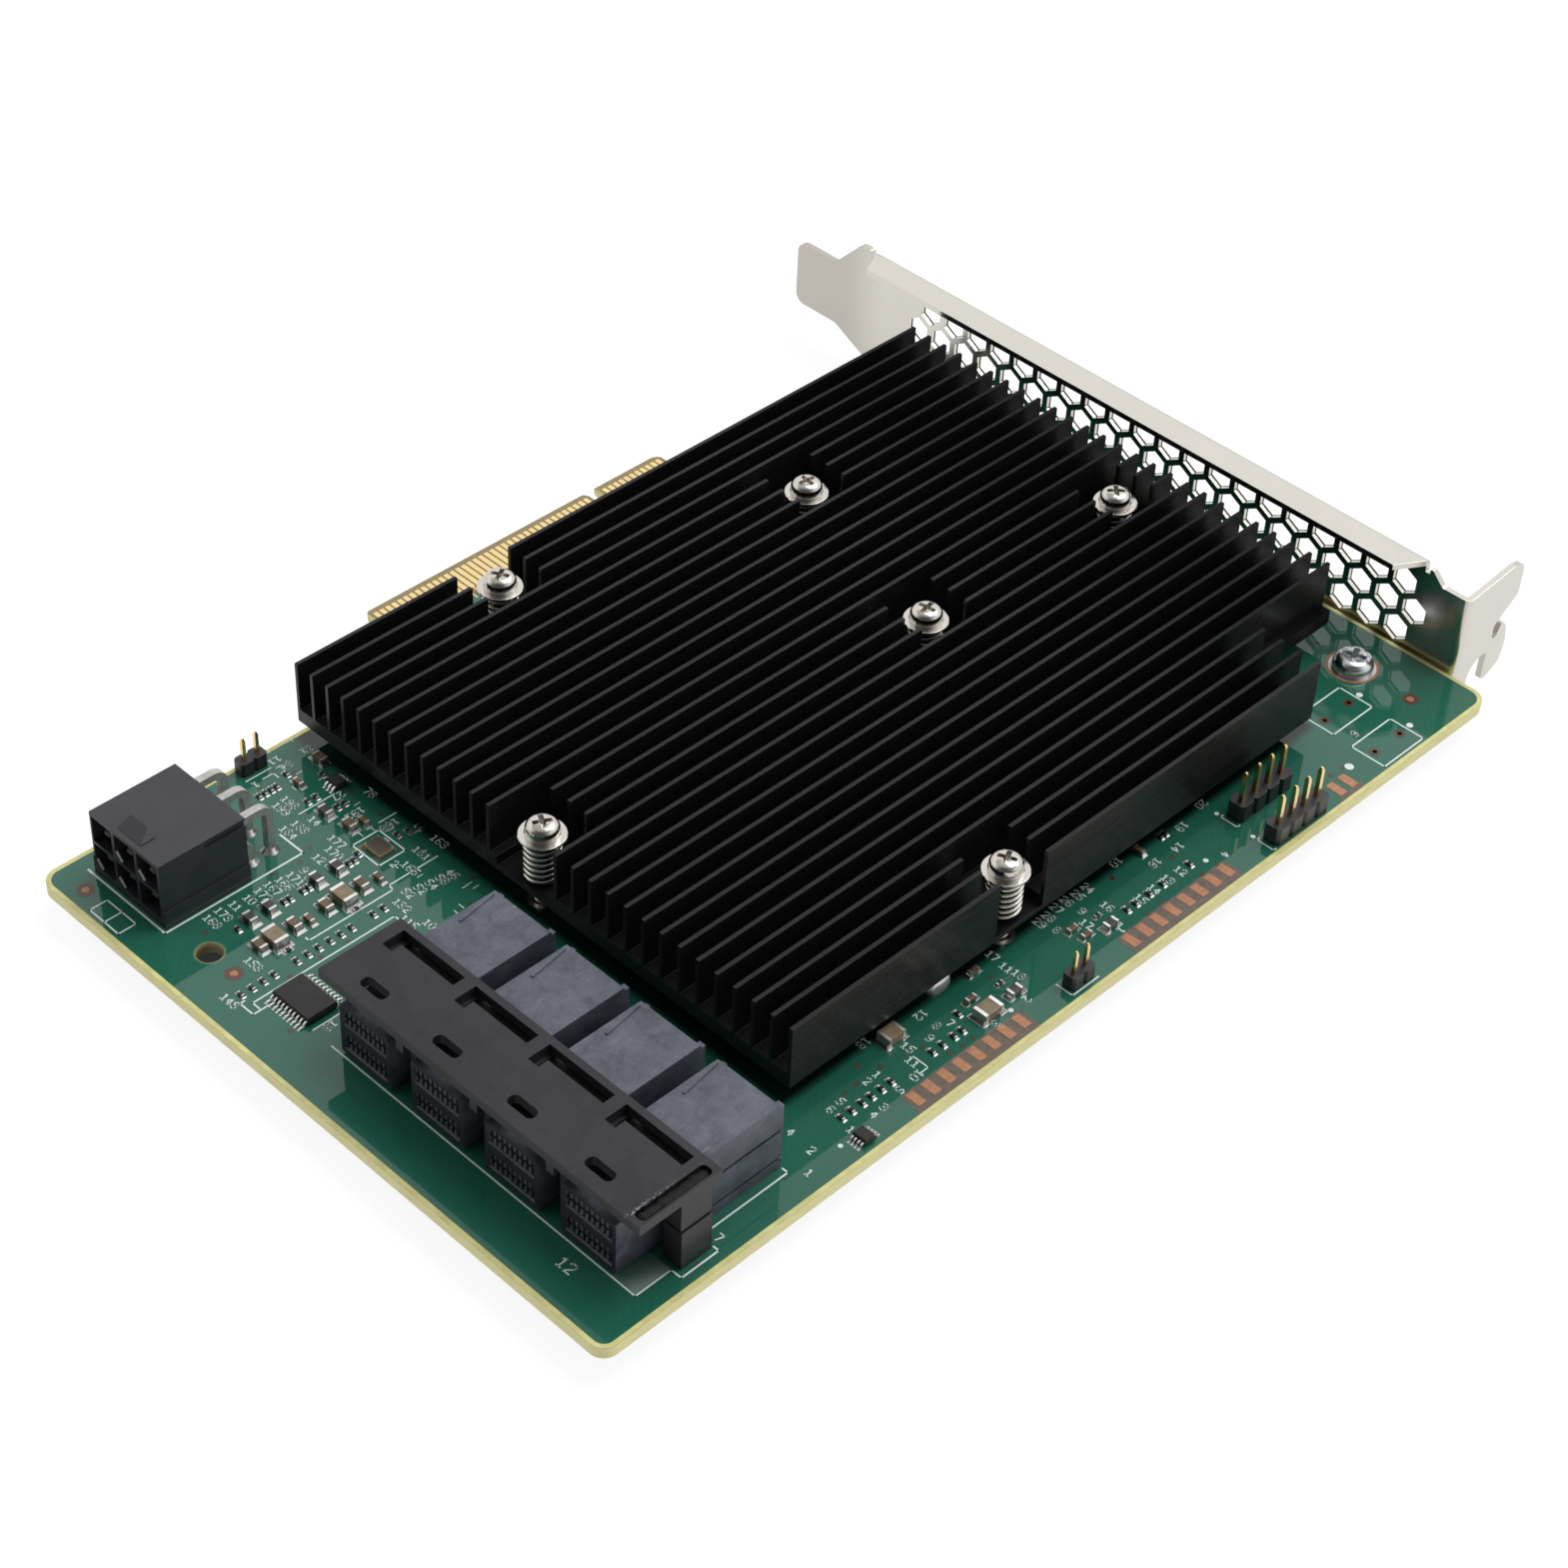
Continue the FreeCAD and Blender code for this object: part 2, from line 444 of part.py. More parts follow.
def bend_solid(prof, plane, a, b):
    p_in0, mi, p_in1, end_in, end_out, p_out1, mo, p_out0 = prof
    q = [to3(p[0], p[1], plane, a) for p in (p_in0, mi, p_in1, end_in, end_out, p_out1, mo, p_out0)]
    w = Part.Wire([Part.Arc(q[0], q[1], q[2]).toShape(), Part.LineSegment(q[2], q[3]).toShape(),
                   Part.LineSegment(q[3], q[4]).toShape(), Part.LineSegment(q[4], q[5]).toShape(),
                   Part.Arc(q[5], q[6], q[7]).toShape(), Part.LineSegment(q[7], q[0]).toShape()])
    d = {"xy": V(0, 0, b - a), "xz": V(0, b - a, 0)}[plane]
    return Part.Face(w).extrude(d)


# long stiffening flange, folded back over the board, with mitred ends
cxb = xi - BR_BEND_R
flange = bend_solid(bend_profile(cxb, zt, 1, 1, BR_FLANGE - BR_BEND_R), "xz", yf0, yf1)
xe = cxb - (BR_FLANGE - BR_BEND_R)
flange = flange.cut(prism([(xe - 1, yf0 - 1), (0.06, yf0 - 1), (0.06, yf0), (xe, yf0 + 2.4), (xe - 1, yf0 + 2.4)], "xy", 10, 20))
flange = flange.cut(prism([(xe - 1, yf1 + 1), (0.06, yf1 + 1), (0.06, yf1), (xe, yf1 - 2.0), (xe - 1, yf1 - 2.0)], "xy", 10, 20))
bracket = face.fuse(flange)
# fixing tab, folded outwards at the near end
cxt, cyt = xo + BR_BEND_R, BR_Y0 + ro
bend = bend_solid(bend_profile(cxt, cyt, -1, -1, 0.01), "xy", BR_Z0, BR_TAB_ZT)
tab = prism([
    (cxt, BR_TAB_ZT), (10.4, 12.6, 1.6), (BR_TAB_X1, 12.0, 1.3), (BR_TAB_X1, 7.0, 0.7), (10.4, 5.5, 1.8), (8.25, 3.8, 0.8), (8.25, 1.75, 0.75),
    (9.25, 1.55, 0.4), (10.2, 3.7, 0.45), (11.5, 2.3, 1.2), (12.0, -0.6, 2.5), (11.5, -3.6, 1.8), (8.6, -5.0, 0.7), (7.7, -4.7, 0.3),
    (7.7, -0.2, 0.3), (4.0, -0.2, 2.8), (4.0, -5.0, 0.5), (2.4, -5.0, 0.7), (2.4, BR_Z0, 0.2), (cxt, BR_Z0)],
    "xz", BR_Y0, BR_Y0 + SHEET)
bracket = bracket.fuse(bend).fuse(tab)
# ears folded under the board
for yc in BR_EARS:
    a, b = yc - 3.6, yc + 3.6
    cz = -BOARD_T + BR_BEND_R
    bracket = bracket.cut(box(0, 2, a - 0.7, b + 0.7, BR_Z0 - 1, cz))
    ear = bend_solid(bend_profile(cxb, cz, 1, -1, 12.0), "xz", a, b)
    ear = ear.cut(cyl(BR_SCREW_X, yc, -4, 0, 1.5))
    xend = cxb - 12.0
    trim = prism([(xend - 1, a - 1), (xend + 2.5, a - 1), (xend + 2.5, a), (xend, a + 2.5), (xend, b - 2.5), (xend + 2.5, b),
                  (xend + 2.5, b + 1), (xend - 1, b + 1)], "xy", -4, 0)
    bracket = bracket.fuse(ear.cut(trim))
# hexagon vents
vents = []
rh = HEX_AF / math.sqrt(3)
for row, (n, y0) in enumerate(((20, 15.9), (21, 13.7), (20, 15.9))):
    z = HEX_Z + (row - 1) * HEX_PITCH * math.sqrt(3) / 2
    for k in range(n):
        yc = y0 + HEX_PITCH * k
        vents.append(prism([(yc + rh * math.sin(math.radians(60 * m)), z + rh * math.cos(math.radians(60 * m))) for m in range(6)],
                           "yz", xi - 0.5, xo + 0.5))
bracket = bracket.cut(Part.makeCompound(vents))
export("io_bracket", one(bracket))

bscrews = []
for n, yc in enumerate(BR_EARS):
    prof = [(0, -2.95), (1.2, -2.95), (1.45, -2.7), (1.45, 0), (2.7, 0), (2.75, 0.1), (2.75, 0.75), (2.6, 1.25), (2.25, 1.65), (1.7, 1.9),
            (1.0, 2.0), (0, 2.0)]
    s = turned(prof, BR_SCREW_X, yc).cut(cross_recess(BR_SCREW_X, yc, 2.0, 0.8, 3.3, 1.2, 20 + 50 * n))
    bscrews.append(s)
export("bracket_screws", bscrews)


# ------------------------------------------------------------- leaded chips
def leaded(name, x, y, bx, by, bz, n, pitch, lw, reach):
    """Moulded chip with gull-wing leads on its two x sides."""
    hx, hy = bx / 2, by / 2
    body = prism([(x - hx, y - hy), (x + hx, y - hy), (x + hx, y + hy), (x - hx, y + hy)], "xy", 0.1, bz)
    zl = bz * 0.55
    for sgn in (-1, 1):
        for k in range(n):
            yy = y + (k - (n - 1) / 2) * pitch
            pr = [(hx - 0.2, zl), (hx + 0.3, zl), (hx + 0.45, 0.16), (hx + reach, 0.16), (hx + reach, 0.0), (hx + 0.3, 0.0),
                  (hx + 0.15, zl - 0.16), (hx - 0.2, zl - 0.16)]
            body = body.fuse(prism([(x + sgn * u, v) for u, v in pr], "xz", yy - lw / 2, yy + lw / 2))
    export(name, one(body))


leaded("interface_ic", -145.7, 60.4, 4.4, 6.5, 1.1, 10, 0.65, 0.24, 1.0)
leaded("small_ic_1", -114.4, 2.4, 1.7, 2.1, 1.0, 4, 0.5, 0.24, 0.6)
leaded("small_ic_2", -119.2, 87.0, 1.7, 2.2, 1.0, 3, 0.65, 0.3, 0.6)
cry = box(-124.2, -121.7, 73.0, 76.2, 0, 0.5).fuse(box(-123.95, -121.95, 73.25, 75.95, 0.5, 0.75))
export("crystal", one(cry))


# ---------------------------------------------------------------- chip parts
def chip(x, y, length, width, height, along):
    """Ceramic chip with slightly proud end caps, long side along x or y."""
    cap = length * 0.22
    d = 0.03
    def b(a0, a1, w, h):
        if along == "x":
            return box(x + a0, x + a1, y - w / 2, y + w / 2, 0, h)
        return box(x - w / 2, x + w / 2, y + a0, y + a1, 0, h)
    half = length / 2
    s = b(-half + cap / 2, half - cap / 2, width - 2 * d, height - d)
    s = s.fuse(b(-half, -half + cap, width, height)).fuse(b(half - cap, half, width, height))
    return one(s)


LARGE = [(-141.9, 70.6, 3.1, 2.1, 1.3, "y"), (-131.6, 70.6, 3.1, 2.1, 1.3, "y"), (-101.0, 10.9, 2.8, 2.1, 1.3, "x"),
         (-90.0, 6.0, 3.2, 2.2, 1.3, "x"), (-90.9, 13.4, 4.2, 2.4, 1.5, "x")]
FERRITE = [(x, 75.2, 2.0, 1.25, 0.9, "y") for x in (-141.9, -139.1, -132.0, -128.9)]
FERRITE += [(-123.6, 83.8, 2.0, 1.25, 0.9, "y"), (-85.3, 6.1, 2.0, 1.25, 0.9, "x"), (-68.6, 5.8, 2.0, 1.25, 0.9, "x")]
CAPS = [(x, 70.9, 2.0, 1.25, 0.9, "y") for x in (-143.9, -138.8, -134.1, -128.7)]
CAPS += [(x, 70.5, 1.6, 0.8, 0.7, "y") for x in (-136.9, -126.4)]
CAPS += [(-122.6, 90.2, 1.6, 0.8, 0.7, "y"), (-117.9, 91.9, 2.0, 1.25, 0.9, "y"), (-123.0, 80.0, 2.0, 1.25, 0.9, "y"),
         (-121.3, 79.4, 1.6, 0.8, 0.7, "y"), (-89.9, 8.75, 1.6, 0.8, 0.7, "x"), (-72.5, 8.4, 1.6, 0.8, 0.7, "x"),
         (-72.0, 6.6, 1.6, 0.8, 0.7, "x"), (-56.1, 11.9, 1.6, 0.8, 0.7, "y"), (-86.3, 11.6, 1.6, 0.8, 0.7, "x")]
SMALL_Y = [(x, 75.0) for x in (-143.9, -137.1, -136.2, -134.3, -133.4, -127.3, -126.5)]
SMALL_Y += [(x, 66.3) for x in (-150.3, -148.7, -147.1, -145.5, -142.2, -140.6, -139.0, -137.3, -135.7, -134.1, -130.8, -129.2)]
SMALL_Y += [(x, 91.6) for x in (-127.6, -126.7, -125.8, -124.9)]
SMALL_Y += [(-122.6, 92.6), (-119.4, 89.6), (-123.9, 86.9), (-122.6, 86.9), (-121.9, 83.7), (-120.8, 83.7), (-125.4, 75.6),
            (-119.8, 75.0), (-118.4, 74.6), (-117.0, 74.2)]
SMALL_Y += [(x, 6.2) for x in (-114.0, -112.4, -110.7, -109.2, -107.6, -106.0, -99.2, -97.5, -95.6, -94.2)]
SMALL_Y += [(x, 6.3) for x in (-65.0, -63.4, -60.9, -58.4, -53.3)]
SMALL_Y += [(-52.1, 11.9), (-51.2, 11.9), (-92.6, 8.3)]
SMALL_X = [(-141.9, 68.3), (-131.7, 68.3), (-68.4, 8.0), (-85.4, 8.3)]
export("large_capacitors", [chip(*p) for p in LARGE])
export("ferrite_beads", [chip(*p) for p in FERRITE])
export("chip_capacitors", [chip(*p) for p in CAPS])
export("chip_resistors", [chip(x, y, 1.0, 0.5, 0.35, "y") for x, y in SMALL_Y] + [chip(x, y, 1.0, 0.5, 0.35, "x") for x, y in SMALL_X])
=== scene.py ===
import math
import random

import bmesh
import bpy
from mathutils import Matrix, Vector


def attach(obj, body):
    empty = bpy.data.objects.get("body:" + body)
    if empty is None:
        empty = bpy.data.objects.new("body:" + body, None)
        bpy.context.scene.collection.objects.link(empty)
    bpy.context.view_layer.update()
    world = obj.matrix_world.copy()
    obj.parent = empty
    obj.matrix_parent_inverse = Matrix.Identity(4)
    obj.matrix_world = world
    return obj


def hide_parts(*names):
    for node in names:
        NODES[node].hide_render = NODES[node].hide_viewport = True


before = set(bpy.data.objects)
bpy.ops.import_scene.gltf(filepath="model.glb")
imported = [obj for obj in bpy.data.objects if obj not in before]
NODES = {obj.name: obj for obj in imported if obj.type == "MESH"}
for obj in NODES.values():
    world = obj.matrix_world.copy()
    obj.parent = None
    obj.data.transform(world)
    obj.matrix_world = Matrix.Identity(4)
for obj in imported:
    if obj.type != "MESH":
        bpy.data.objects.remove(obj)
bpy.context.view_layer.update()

# Card coordinates in mm (x to the bracket, y to the edge connector, z = 0 on the
# component face) become row coordinates in metres with P().
ORG = Vector((71.475, -63.03, 5.0))
MM = 0.001


def P(x, y, z):
    return Vector(((x + ORG.x) * MM, (y + ORG.y) * MM, (z + ORG.z) * MM))


# ------------------------------------------------------------------ materials
class Mat:
    """One procedural material; coordinates are the row frame in millimetres."""

    def __init__(self, name):
        self.m = bpy.data.materials.new(name)
        self.m.use_nodes = True
        self.t = self.m.node_tree
        self.b = self.t.nodes["Principled BSDF"]
        self.b.inputs["Specular IOR Level"].default_value = 0.5
        tc = self.n("ShaderNodeTexCoord")
        mp = self.n("ShaderNodeMapping")
        mp.inputs["Scale"].default_value = (1000, 1000, 1000)
        mp.inputs["Location"].default_value = (-ORG.x, -ORG.y, -ORG.z)
        self.link(tc.outputs["Object"], mp.inputs["Vector"])
        self.co = mp.outputs["Vector"]

    def n(self, kind, **kw):
        node = self.t.nodes.new(kind)
        for k, v in kw.items():
            setattr(node, k, v)
        return node

    def link(self, a, b):
        self.t.links.new(a, b)

    def put(self, socket, value):
        if isinstance(value, bpy.types.NodeSocket):
            self.link(value, socket)
        else:
            socket.default_value = value

    def set(self, **kw):
        names = {"metal": "Metallic", "rough": "Roughness", "ior": "IOR", "spec": "Specular IOR Level", "coat": "Coat Weight",
                 "coat_rough": "Coat Roughness", "aniso": "Anisotropic", "color": "Base Color", "sheen": "Sheen Weight",
                 "trans": "Transmission Weight", "sss": "Subsurface Weight"}
        for k, v in kw.items():
            self.put(self.b.inputs[names[k]], v)
        return self

    def math(self, op, a, b=0.0, c=None, clamp=False):
        node = self.n("ShaderNodeMath", operation=op, use_clamp=clamp)
        self.put(node.inputs[0], a)
        self.put(node.inputs[1], b)
        if c is not None:
            self.put(node.inputs[2], c)
        return node.outputs[0]

    def stretch(self, sx, sy, sz, rot=0.0):
        mp = self.n("ShaderNodeMapping")
        mp.inputs["Scale"].default_value = (sx, sy, sz)
        mp.inputs["Rotation"].default_value = (0, 0, rot)
        self.link(self.co, mp.inputs["Vector"])
        return mp.outputs["Vector"]

    def noise(self, scale, detail=2.0, rough=0.5, co=None, distort=0.0):
        node = self.n("ShaderNodeTexNoise")
        self.link(co or self.co, node.inputs["Vector"])
        node.inputs["Scale"].default_value = scale
        node.inputs["Detail"].default_value = detail
        node.inputs["Roughness"].default_value = rough
        node.inputs["Distortion"].default_value = distort
        return node.outputs["Fac"]

    def cells(self, scale, co=None, feature="F1", metric="EUCLIDEAN", out="Distance"):
        node = self.n("ShaderNodeTexVoronoi", feature=feature, distance=metric)
        self.link(co or self.co, node.inputs["Vector"])
        node.inputs["Scale"].default_value = scale
        return node.outputs[out]

    def wave(self, scale, co=None, distort=0.0, detail=1.0, direction="X"):
        node = self.n("ShaderNodeTexWave", wave_type="BANDS", bands_direction=direction)
        self.link(co or self.co, node.inputs["Vector"])
        node.inputs["Scale"].default_value = scale
        node.inputs["Distortion"].default_value = distort
        node.inputs["Detail"].default_value = detail
        return node.outputs["Fac"]

    def span(self, v, a, b, lo=0.0, hi=1.0, smooth=False):
        node = self.n("ShaderNodeMapRange", clamp=True, interpolation_type="SMOOTHSTEP" if smooth else "LINEAR")
        self.put(node.inputs["Value"], v)
        node.inputs["From Min"].default_value = a
        node.inputs["From Max"].default_value = b
        node.inputs["To Min"].default_value = lo
        node.inputs["To Max"].default_value = hi
        return node.outputs["Result"]

    def mix(self, f, a, b):
        node = self.n("ShaderNodeMix", data_type="RGBA")
        self.put(node.inputs["Factor"], f)
        for s, v in (("A", a), ("B", b)):
            sock = [i for i in node.inputs if i.name == s and i.type == "RGBA"][0]
            self.put(sock, (v[0], v[1], v[2], 1.0) if isinstance(v, tuple) else v)
        return [o for o in node.outputs if o.type == "RGBA"][0]

    def ramp(self, f, stops):
        node = self.n("ShaderNodeValToRGB")
        self.put(node.inputs["Fac"], f)
        e = node.color_ramp.elements
        while len(e) < len(stops):
            e.new(0.5)
        for el, (p, c) in zip(e, stops):
            el.position = p
            el.color = (c[0], c[1], c[2], 1.0)
        return node.outputs["Color"]

    def bump(self, h, strength, dist_mm):
        node = self.n("ShaderNodeBump")
        node.inputs["Strength"].default_value = strength
        node.inputs["Distance"].default_value = dist_mm * MM
        self.link(h, node.inputs["Height"])
        self.link(node.outputs["Normal"], self.b.inputs["Normal"])

    def xyz(self):
        node = self.n("ShaderNodeSeparateXYZ")
        self.link(self.co, node.inputs[0])
        return node.outputs["X"], node.outputs["Y"], node.outputs["Z"]

    def normal(self):
        g = self.n("ShaderNodeNewGeometry")
        node = self.n("ShaderNodeSeparateXYZ")
        self.link(g.outputs["True Normal"], node.inputs[0])
        return node.outputs["X"], node.outputs["Y"], node.outputs["Z"]


def grainy(name, dark, light, scale, rough=(0.3, 0.4), metal=0.0, bump=0.0, bump_scale=None, detail=3.0, **extra):
    """Material whose colour and gloss drift with noise of a given cell size."""
    k = Mat(name)
    f = k.noise(scale, detail, 0.55)
    k.set(color=k.ramp(f, [(0.3, dark), (0.7, light)]), metal=metal)
    r = k.noise(scale * 2.3, 2.0, 0.5)
    k.set(rough=k.span(r, 0.3, 0.7, rough[0], rough[1]), **extra)
    if bump:
        k.bump(k.noise(bump_scale or scale * 4, 3.0, 0.6), bump, 0.05)
    return k.m


def board_material():
    k = Mat("solder_mask_laminate")
    x, y, z = k.xyz()
    nx, ny, nz = k.normal()
    # copper under the lacquer: large pours, narrow tracks in two directions, scattered vias
    pour = k.span(k.cells(0.085, feature="F1", metric="CHEBYCHEV", out="Distance"), 0.25, 0.6, 0.0, 1.0, True)
    gate = k.span(k.noise(0.09, 2.0, 0.5), 0.50, 0.56, 0.0, 1.0, True)
    t1 = k.span(k.wave(0.34, k.stretch(1, 1, 1, math.radians(45)), 0.0), 0.80, 0.92)
    t2 = k.span(k.wave(0.42, k.stretch(1, 1, 1, 0.0), 0.0), 0.84, 0.94)
    tracks = k.math("MULTIPLY", k.math("MAXIMUM", k.math("MULTIPLY", t1, gate), k.math("MULTIPLY", t2, k.math("SUBTRACT", 1.0, gate))), 0.55)
    vias = k.span(k.cells(0.30), 0.045, 0.075, 1.0, 0.0)
    lift = k.math("MAXIMUM", k.math("ADD", k.math("MULTIPLY", pour, 0.22), k.math("MULTIPLY", tracks, 0.34)), k.math("MULTIPLY", vias, 0.6), clamp=True)
    mask = k.mix(lift, (0.0180, 0.122, 0.080), (0.031, 0.176, 0.118))
    mask = k.mix(k.span(k.noise(0.03, 2.0), 0.35, 0.65, 0.0, 0.5), mask, (0.0175, 0.126, 0.086))
    rim = k.math("MAXIMUM", k.span(y, 0.15, 0.95, 0.75, 0.0, True), k.span(x, -155.5, -154.7, 0.75, 0.0, True))
    mask = k.mix(rim, mask, (0.105, 0.225, 0.062))
    # painted reflection: a paler patch on the upward faces of the board beside the nearest port
    port_reflection = k.math("MULTIPLY", k.span(x, -147.75, -147.65), k.span(x, -142.85, -142.45, 1.0, 0.0))
    port_reflection = k.math("MULTIPLY", port_reflection, k.math("MULTIPLY", k.span(y, 3.52, 3.62), k.span(y, 4.0, 6.0, 1.0, 0.25)))
    upper = k.span(nz, 0.4, 0.6)
    port_reflection = k.math("MULTIPLY", port_reflection, k.math("MULTIPLY", upper, k.span(y, 7.0, 7.2, 1.0, 0.0)))
    mask = k.mix(port_reflection, mask, (0.22, 0.28, 0.25))
    # painted shade: the board turns near-black under the heat sink and just past its edge
    sink_shade = k.math("MULTIPLY", k.span(x, -118.0, -116.9), k.span(x, -22.0, -21.0, 1.0, 0.0))
    sink_shade = k.math("MULTIPLY", sink_shade, k.math("MULTIPLY", k.span(y, 11.4, 12.6), k.span(y, 99.0, 100.0, 1.0, 0.0)))
    mask = k.mix(k.math("MULTIPLY", sink_shade, k.math("MULTIPLY", upper, 0.92)), mask, (0.002, 0.006, 0.005))
    # bare laminate on the cut edges, with the weave's layers running along them
    ply = k.noise(1.0, 3.0, 0.6, k.stretch(0.25, 0.25, 7.0))
    fr4 = k.ramp(ply, [(0.25, (0.56, 0.50, 0.21)), (0.5, (0.73, 0.68, 0.32)), (0.8, (0.84, 0.80, 0.46))])
    edge = k.span(k.math("ABSOLUTE", nz), 0.55, 0.75, 1.0, 0.0)
    # the corner hole: pale rim; its wall is browner and darker downwards as painted shade
    dx, dy = k.math("ADD", x, 148.6), k.math("SUBTRACT", y, 74.2)
    reach = k.math("SQRT", k.math("ADD", k.math("MULTIPLY", dx, dx), k.math("MULTIPLY", dy, dy)))
    mask = k.mix(k.span(reach, 1.75, 1.95, 0.80, 0.0), mask, (0.21, 0.26, 0.13))
    bore_shade = k.math("MULTIPLY", k.span(reach, 1.75, 1.85, 1.0, 0.0), k.span(z, -0.9, -0.05, 0.92, 0.45, True))
    fr4 = k.mix(bore_shade, fr4, (0.075, 0.050, 0.010))
    # no lacquer on the finger tab
    tab = k.span(y, 104.1, 104.25)
    bare = k.ramp(k.noise(2.2, 3.0), [(0.3, (0.20, 0.145, 0.05)), (0.7, (0.30, 0.22, 0.085))])
    face = k.mix(tab, mask, bare)
    k.set(color=k.mix(edge, face, fr4), ior=1.52)
    gloss = k.span(k.noise(0.5, 3.0), 0.3, 0.7, 0.022, 0.05)
    k.set(rough=k.math("MAXIMUM", gloss, k.math("MULTIPLY", k.math("MAXIMUM", edge, tab), 0.55)))
    k.bump(k.math("ADD", k.math("MULTIPLY", lift, 0.6), k.math("MULTIPLY", k.noise(0.7, 2.0), 0.25)), 0.12, 0.02)
    return k.m


def anodised():
    k = Mat("anodised_black")
    streak = k.noise(1.0, 3.0, 0.6, k.stretch(0.06, 5.0, 3.5))
    dust = k.span(k.cells(0.55), 0.012, 0.035, 1.0, 0.0)
    col = k.ramp(streak, [(0.25, (0.0065, 0.0065, 0.0067)), (0.75, (0.0115, 0.0115, 0.0117))])
    # duller between the fins towards the bracket
    x, y, z = k.xyz()
    inner = k.math("MULTIPLY", k.span(x, -46.0, -24.0), k.span(y, 12.2, 12.8))
    k.set(color=k.mix(k.math("MULTIPLY", dust, 0.25), col, (0.09, 0.09, 0.09)), spec=k.span(inner, 0.0, 1.0, 0.20, 0.06))
    k.set(rough=k.span(streak, 0.3, 0.7, 0.22, 0.30))
    k.bump(streak, 0.05, 0.03)
    return k.m


def moulded(name, dark, light, patch, rough, pit=0.12, fleck=None, fleck_amount=0.0, spec=0.5, wear_and_highlight=False, shade_front_x=None):
    """Glass-filled plastic: soft flow patches, fine pits, thin scuffs; optional painted highlight flecks on one edge
    and painted shade on the front faces.
    """
    k = Mat(name)
    flow = k.noise(patch, 4.0, 0.62, None, 0.6)
    fine = k.noise(patch * 9, 3.0, 0.6)
    f = k.math("ADD", k.math("MULTIPLY", flow, 0.72), k.math("MULTIPLY", fine, 0.28))
    col = k.ramp(f, [(0.34, dark), (0.66, light)])
    if fleck:
        scratch = k.span(k.noise(1.0, 2.0, 0.5, k.stretch(0.35, 3.2, 2.2, 0.5)), 0.66, 0.74)
        col = k.mix(k.math("MULTIPLY", scratch, fleck_amount), col, fleck)
    if wear_and_highlight:
        # light flecks along the plate's near top edge: partly wear, partly painted highlight
        x, y, z = k.xyz()
        near = k.math("MULTIPLY", k.math("MULTIPLY", k.span(y, 4.60, 4.72), k.span(y, 4.95, 5.25, 1.0, 0.0)), k.span(z, 11.0, 11.2))
        near = k.math("MULTIPLY", near, k.span(x, -143.8, -141.0, 1.0, 0.1))
        col = k.mix(k.math("MULTIPLY", near, k.span(k.noise(3.5, 3.0, 0.6), 0.50, 0.60)), col, (0.30, 0.30, 0.32))
    if shade_front_x is not None:
        # painted shade: the faces round the openings are darker, with less specular
        x, y, z = k.xyz()
        nx, ny, nz = k.normal()
        front_shade = k.math("MULTIPLY", k.span(x, shade_front_x, shade_front_x + 0.4, 1.0, 0.0), k.span(nx, -0.9, -0.6, 1.0, 0.0))
        col = k.mix(k.math("MULTIPLY", front_shade, 0.88), col, (0.006, 0.0065, 0.008))
        spec = k.span(front_shade, 0.0, 1.0, spec, spec * 0.4)
    k.set(color=col, rough=k.span(f, 0.35, 0.65, rough[0], rough[1]), spec=spec)
    k.bump(k.noise(patch * 22, 2.0, 0.6), pit, 0.03)
    return k.m


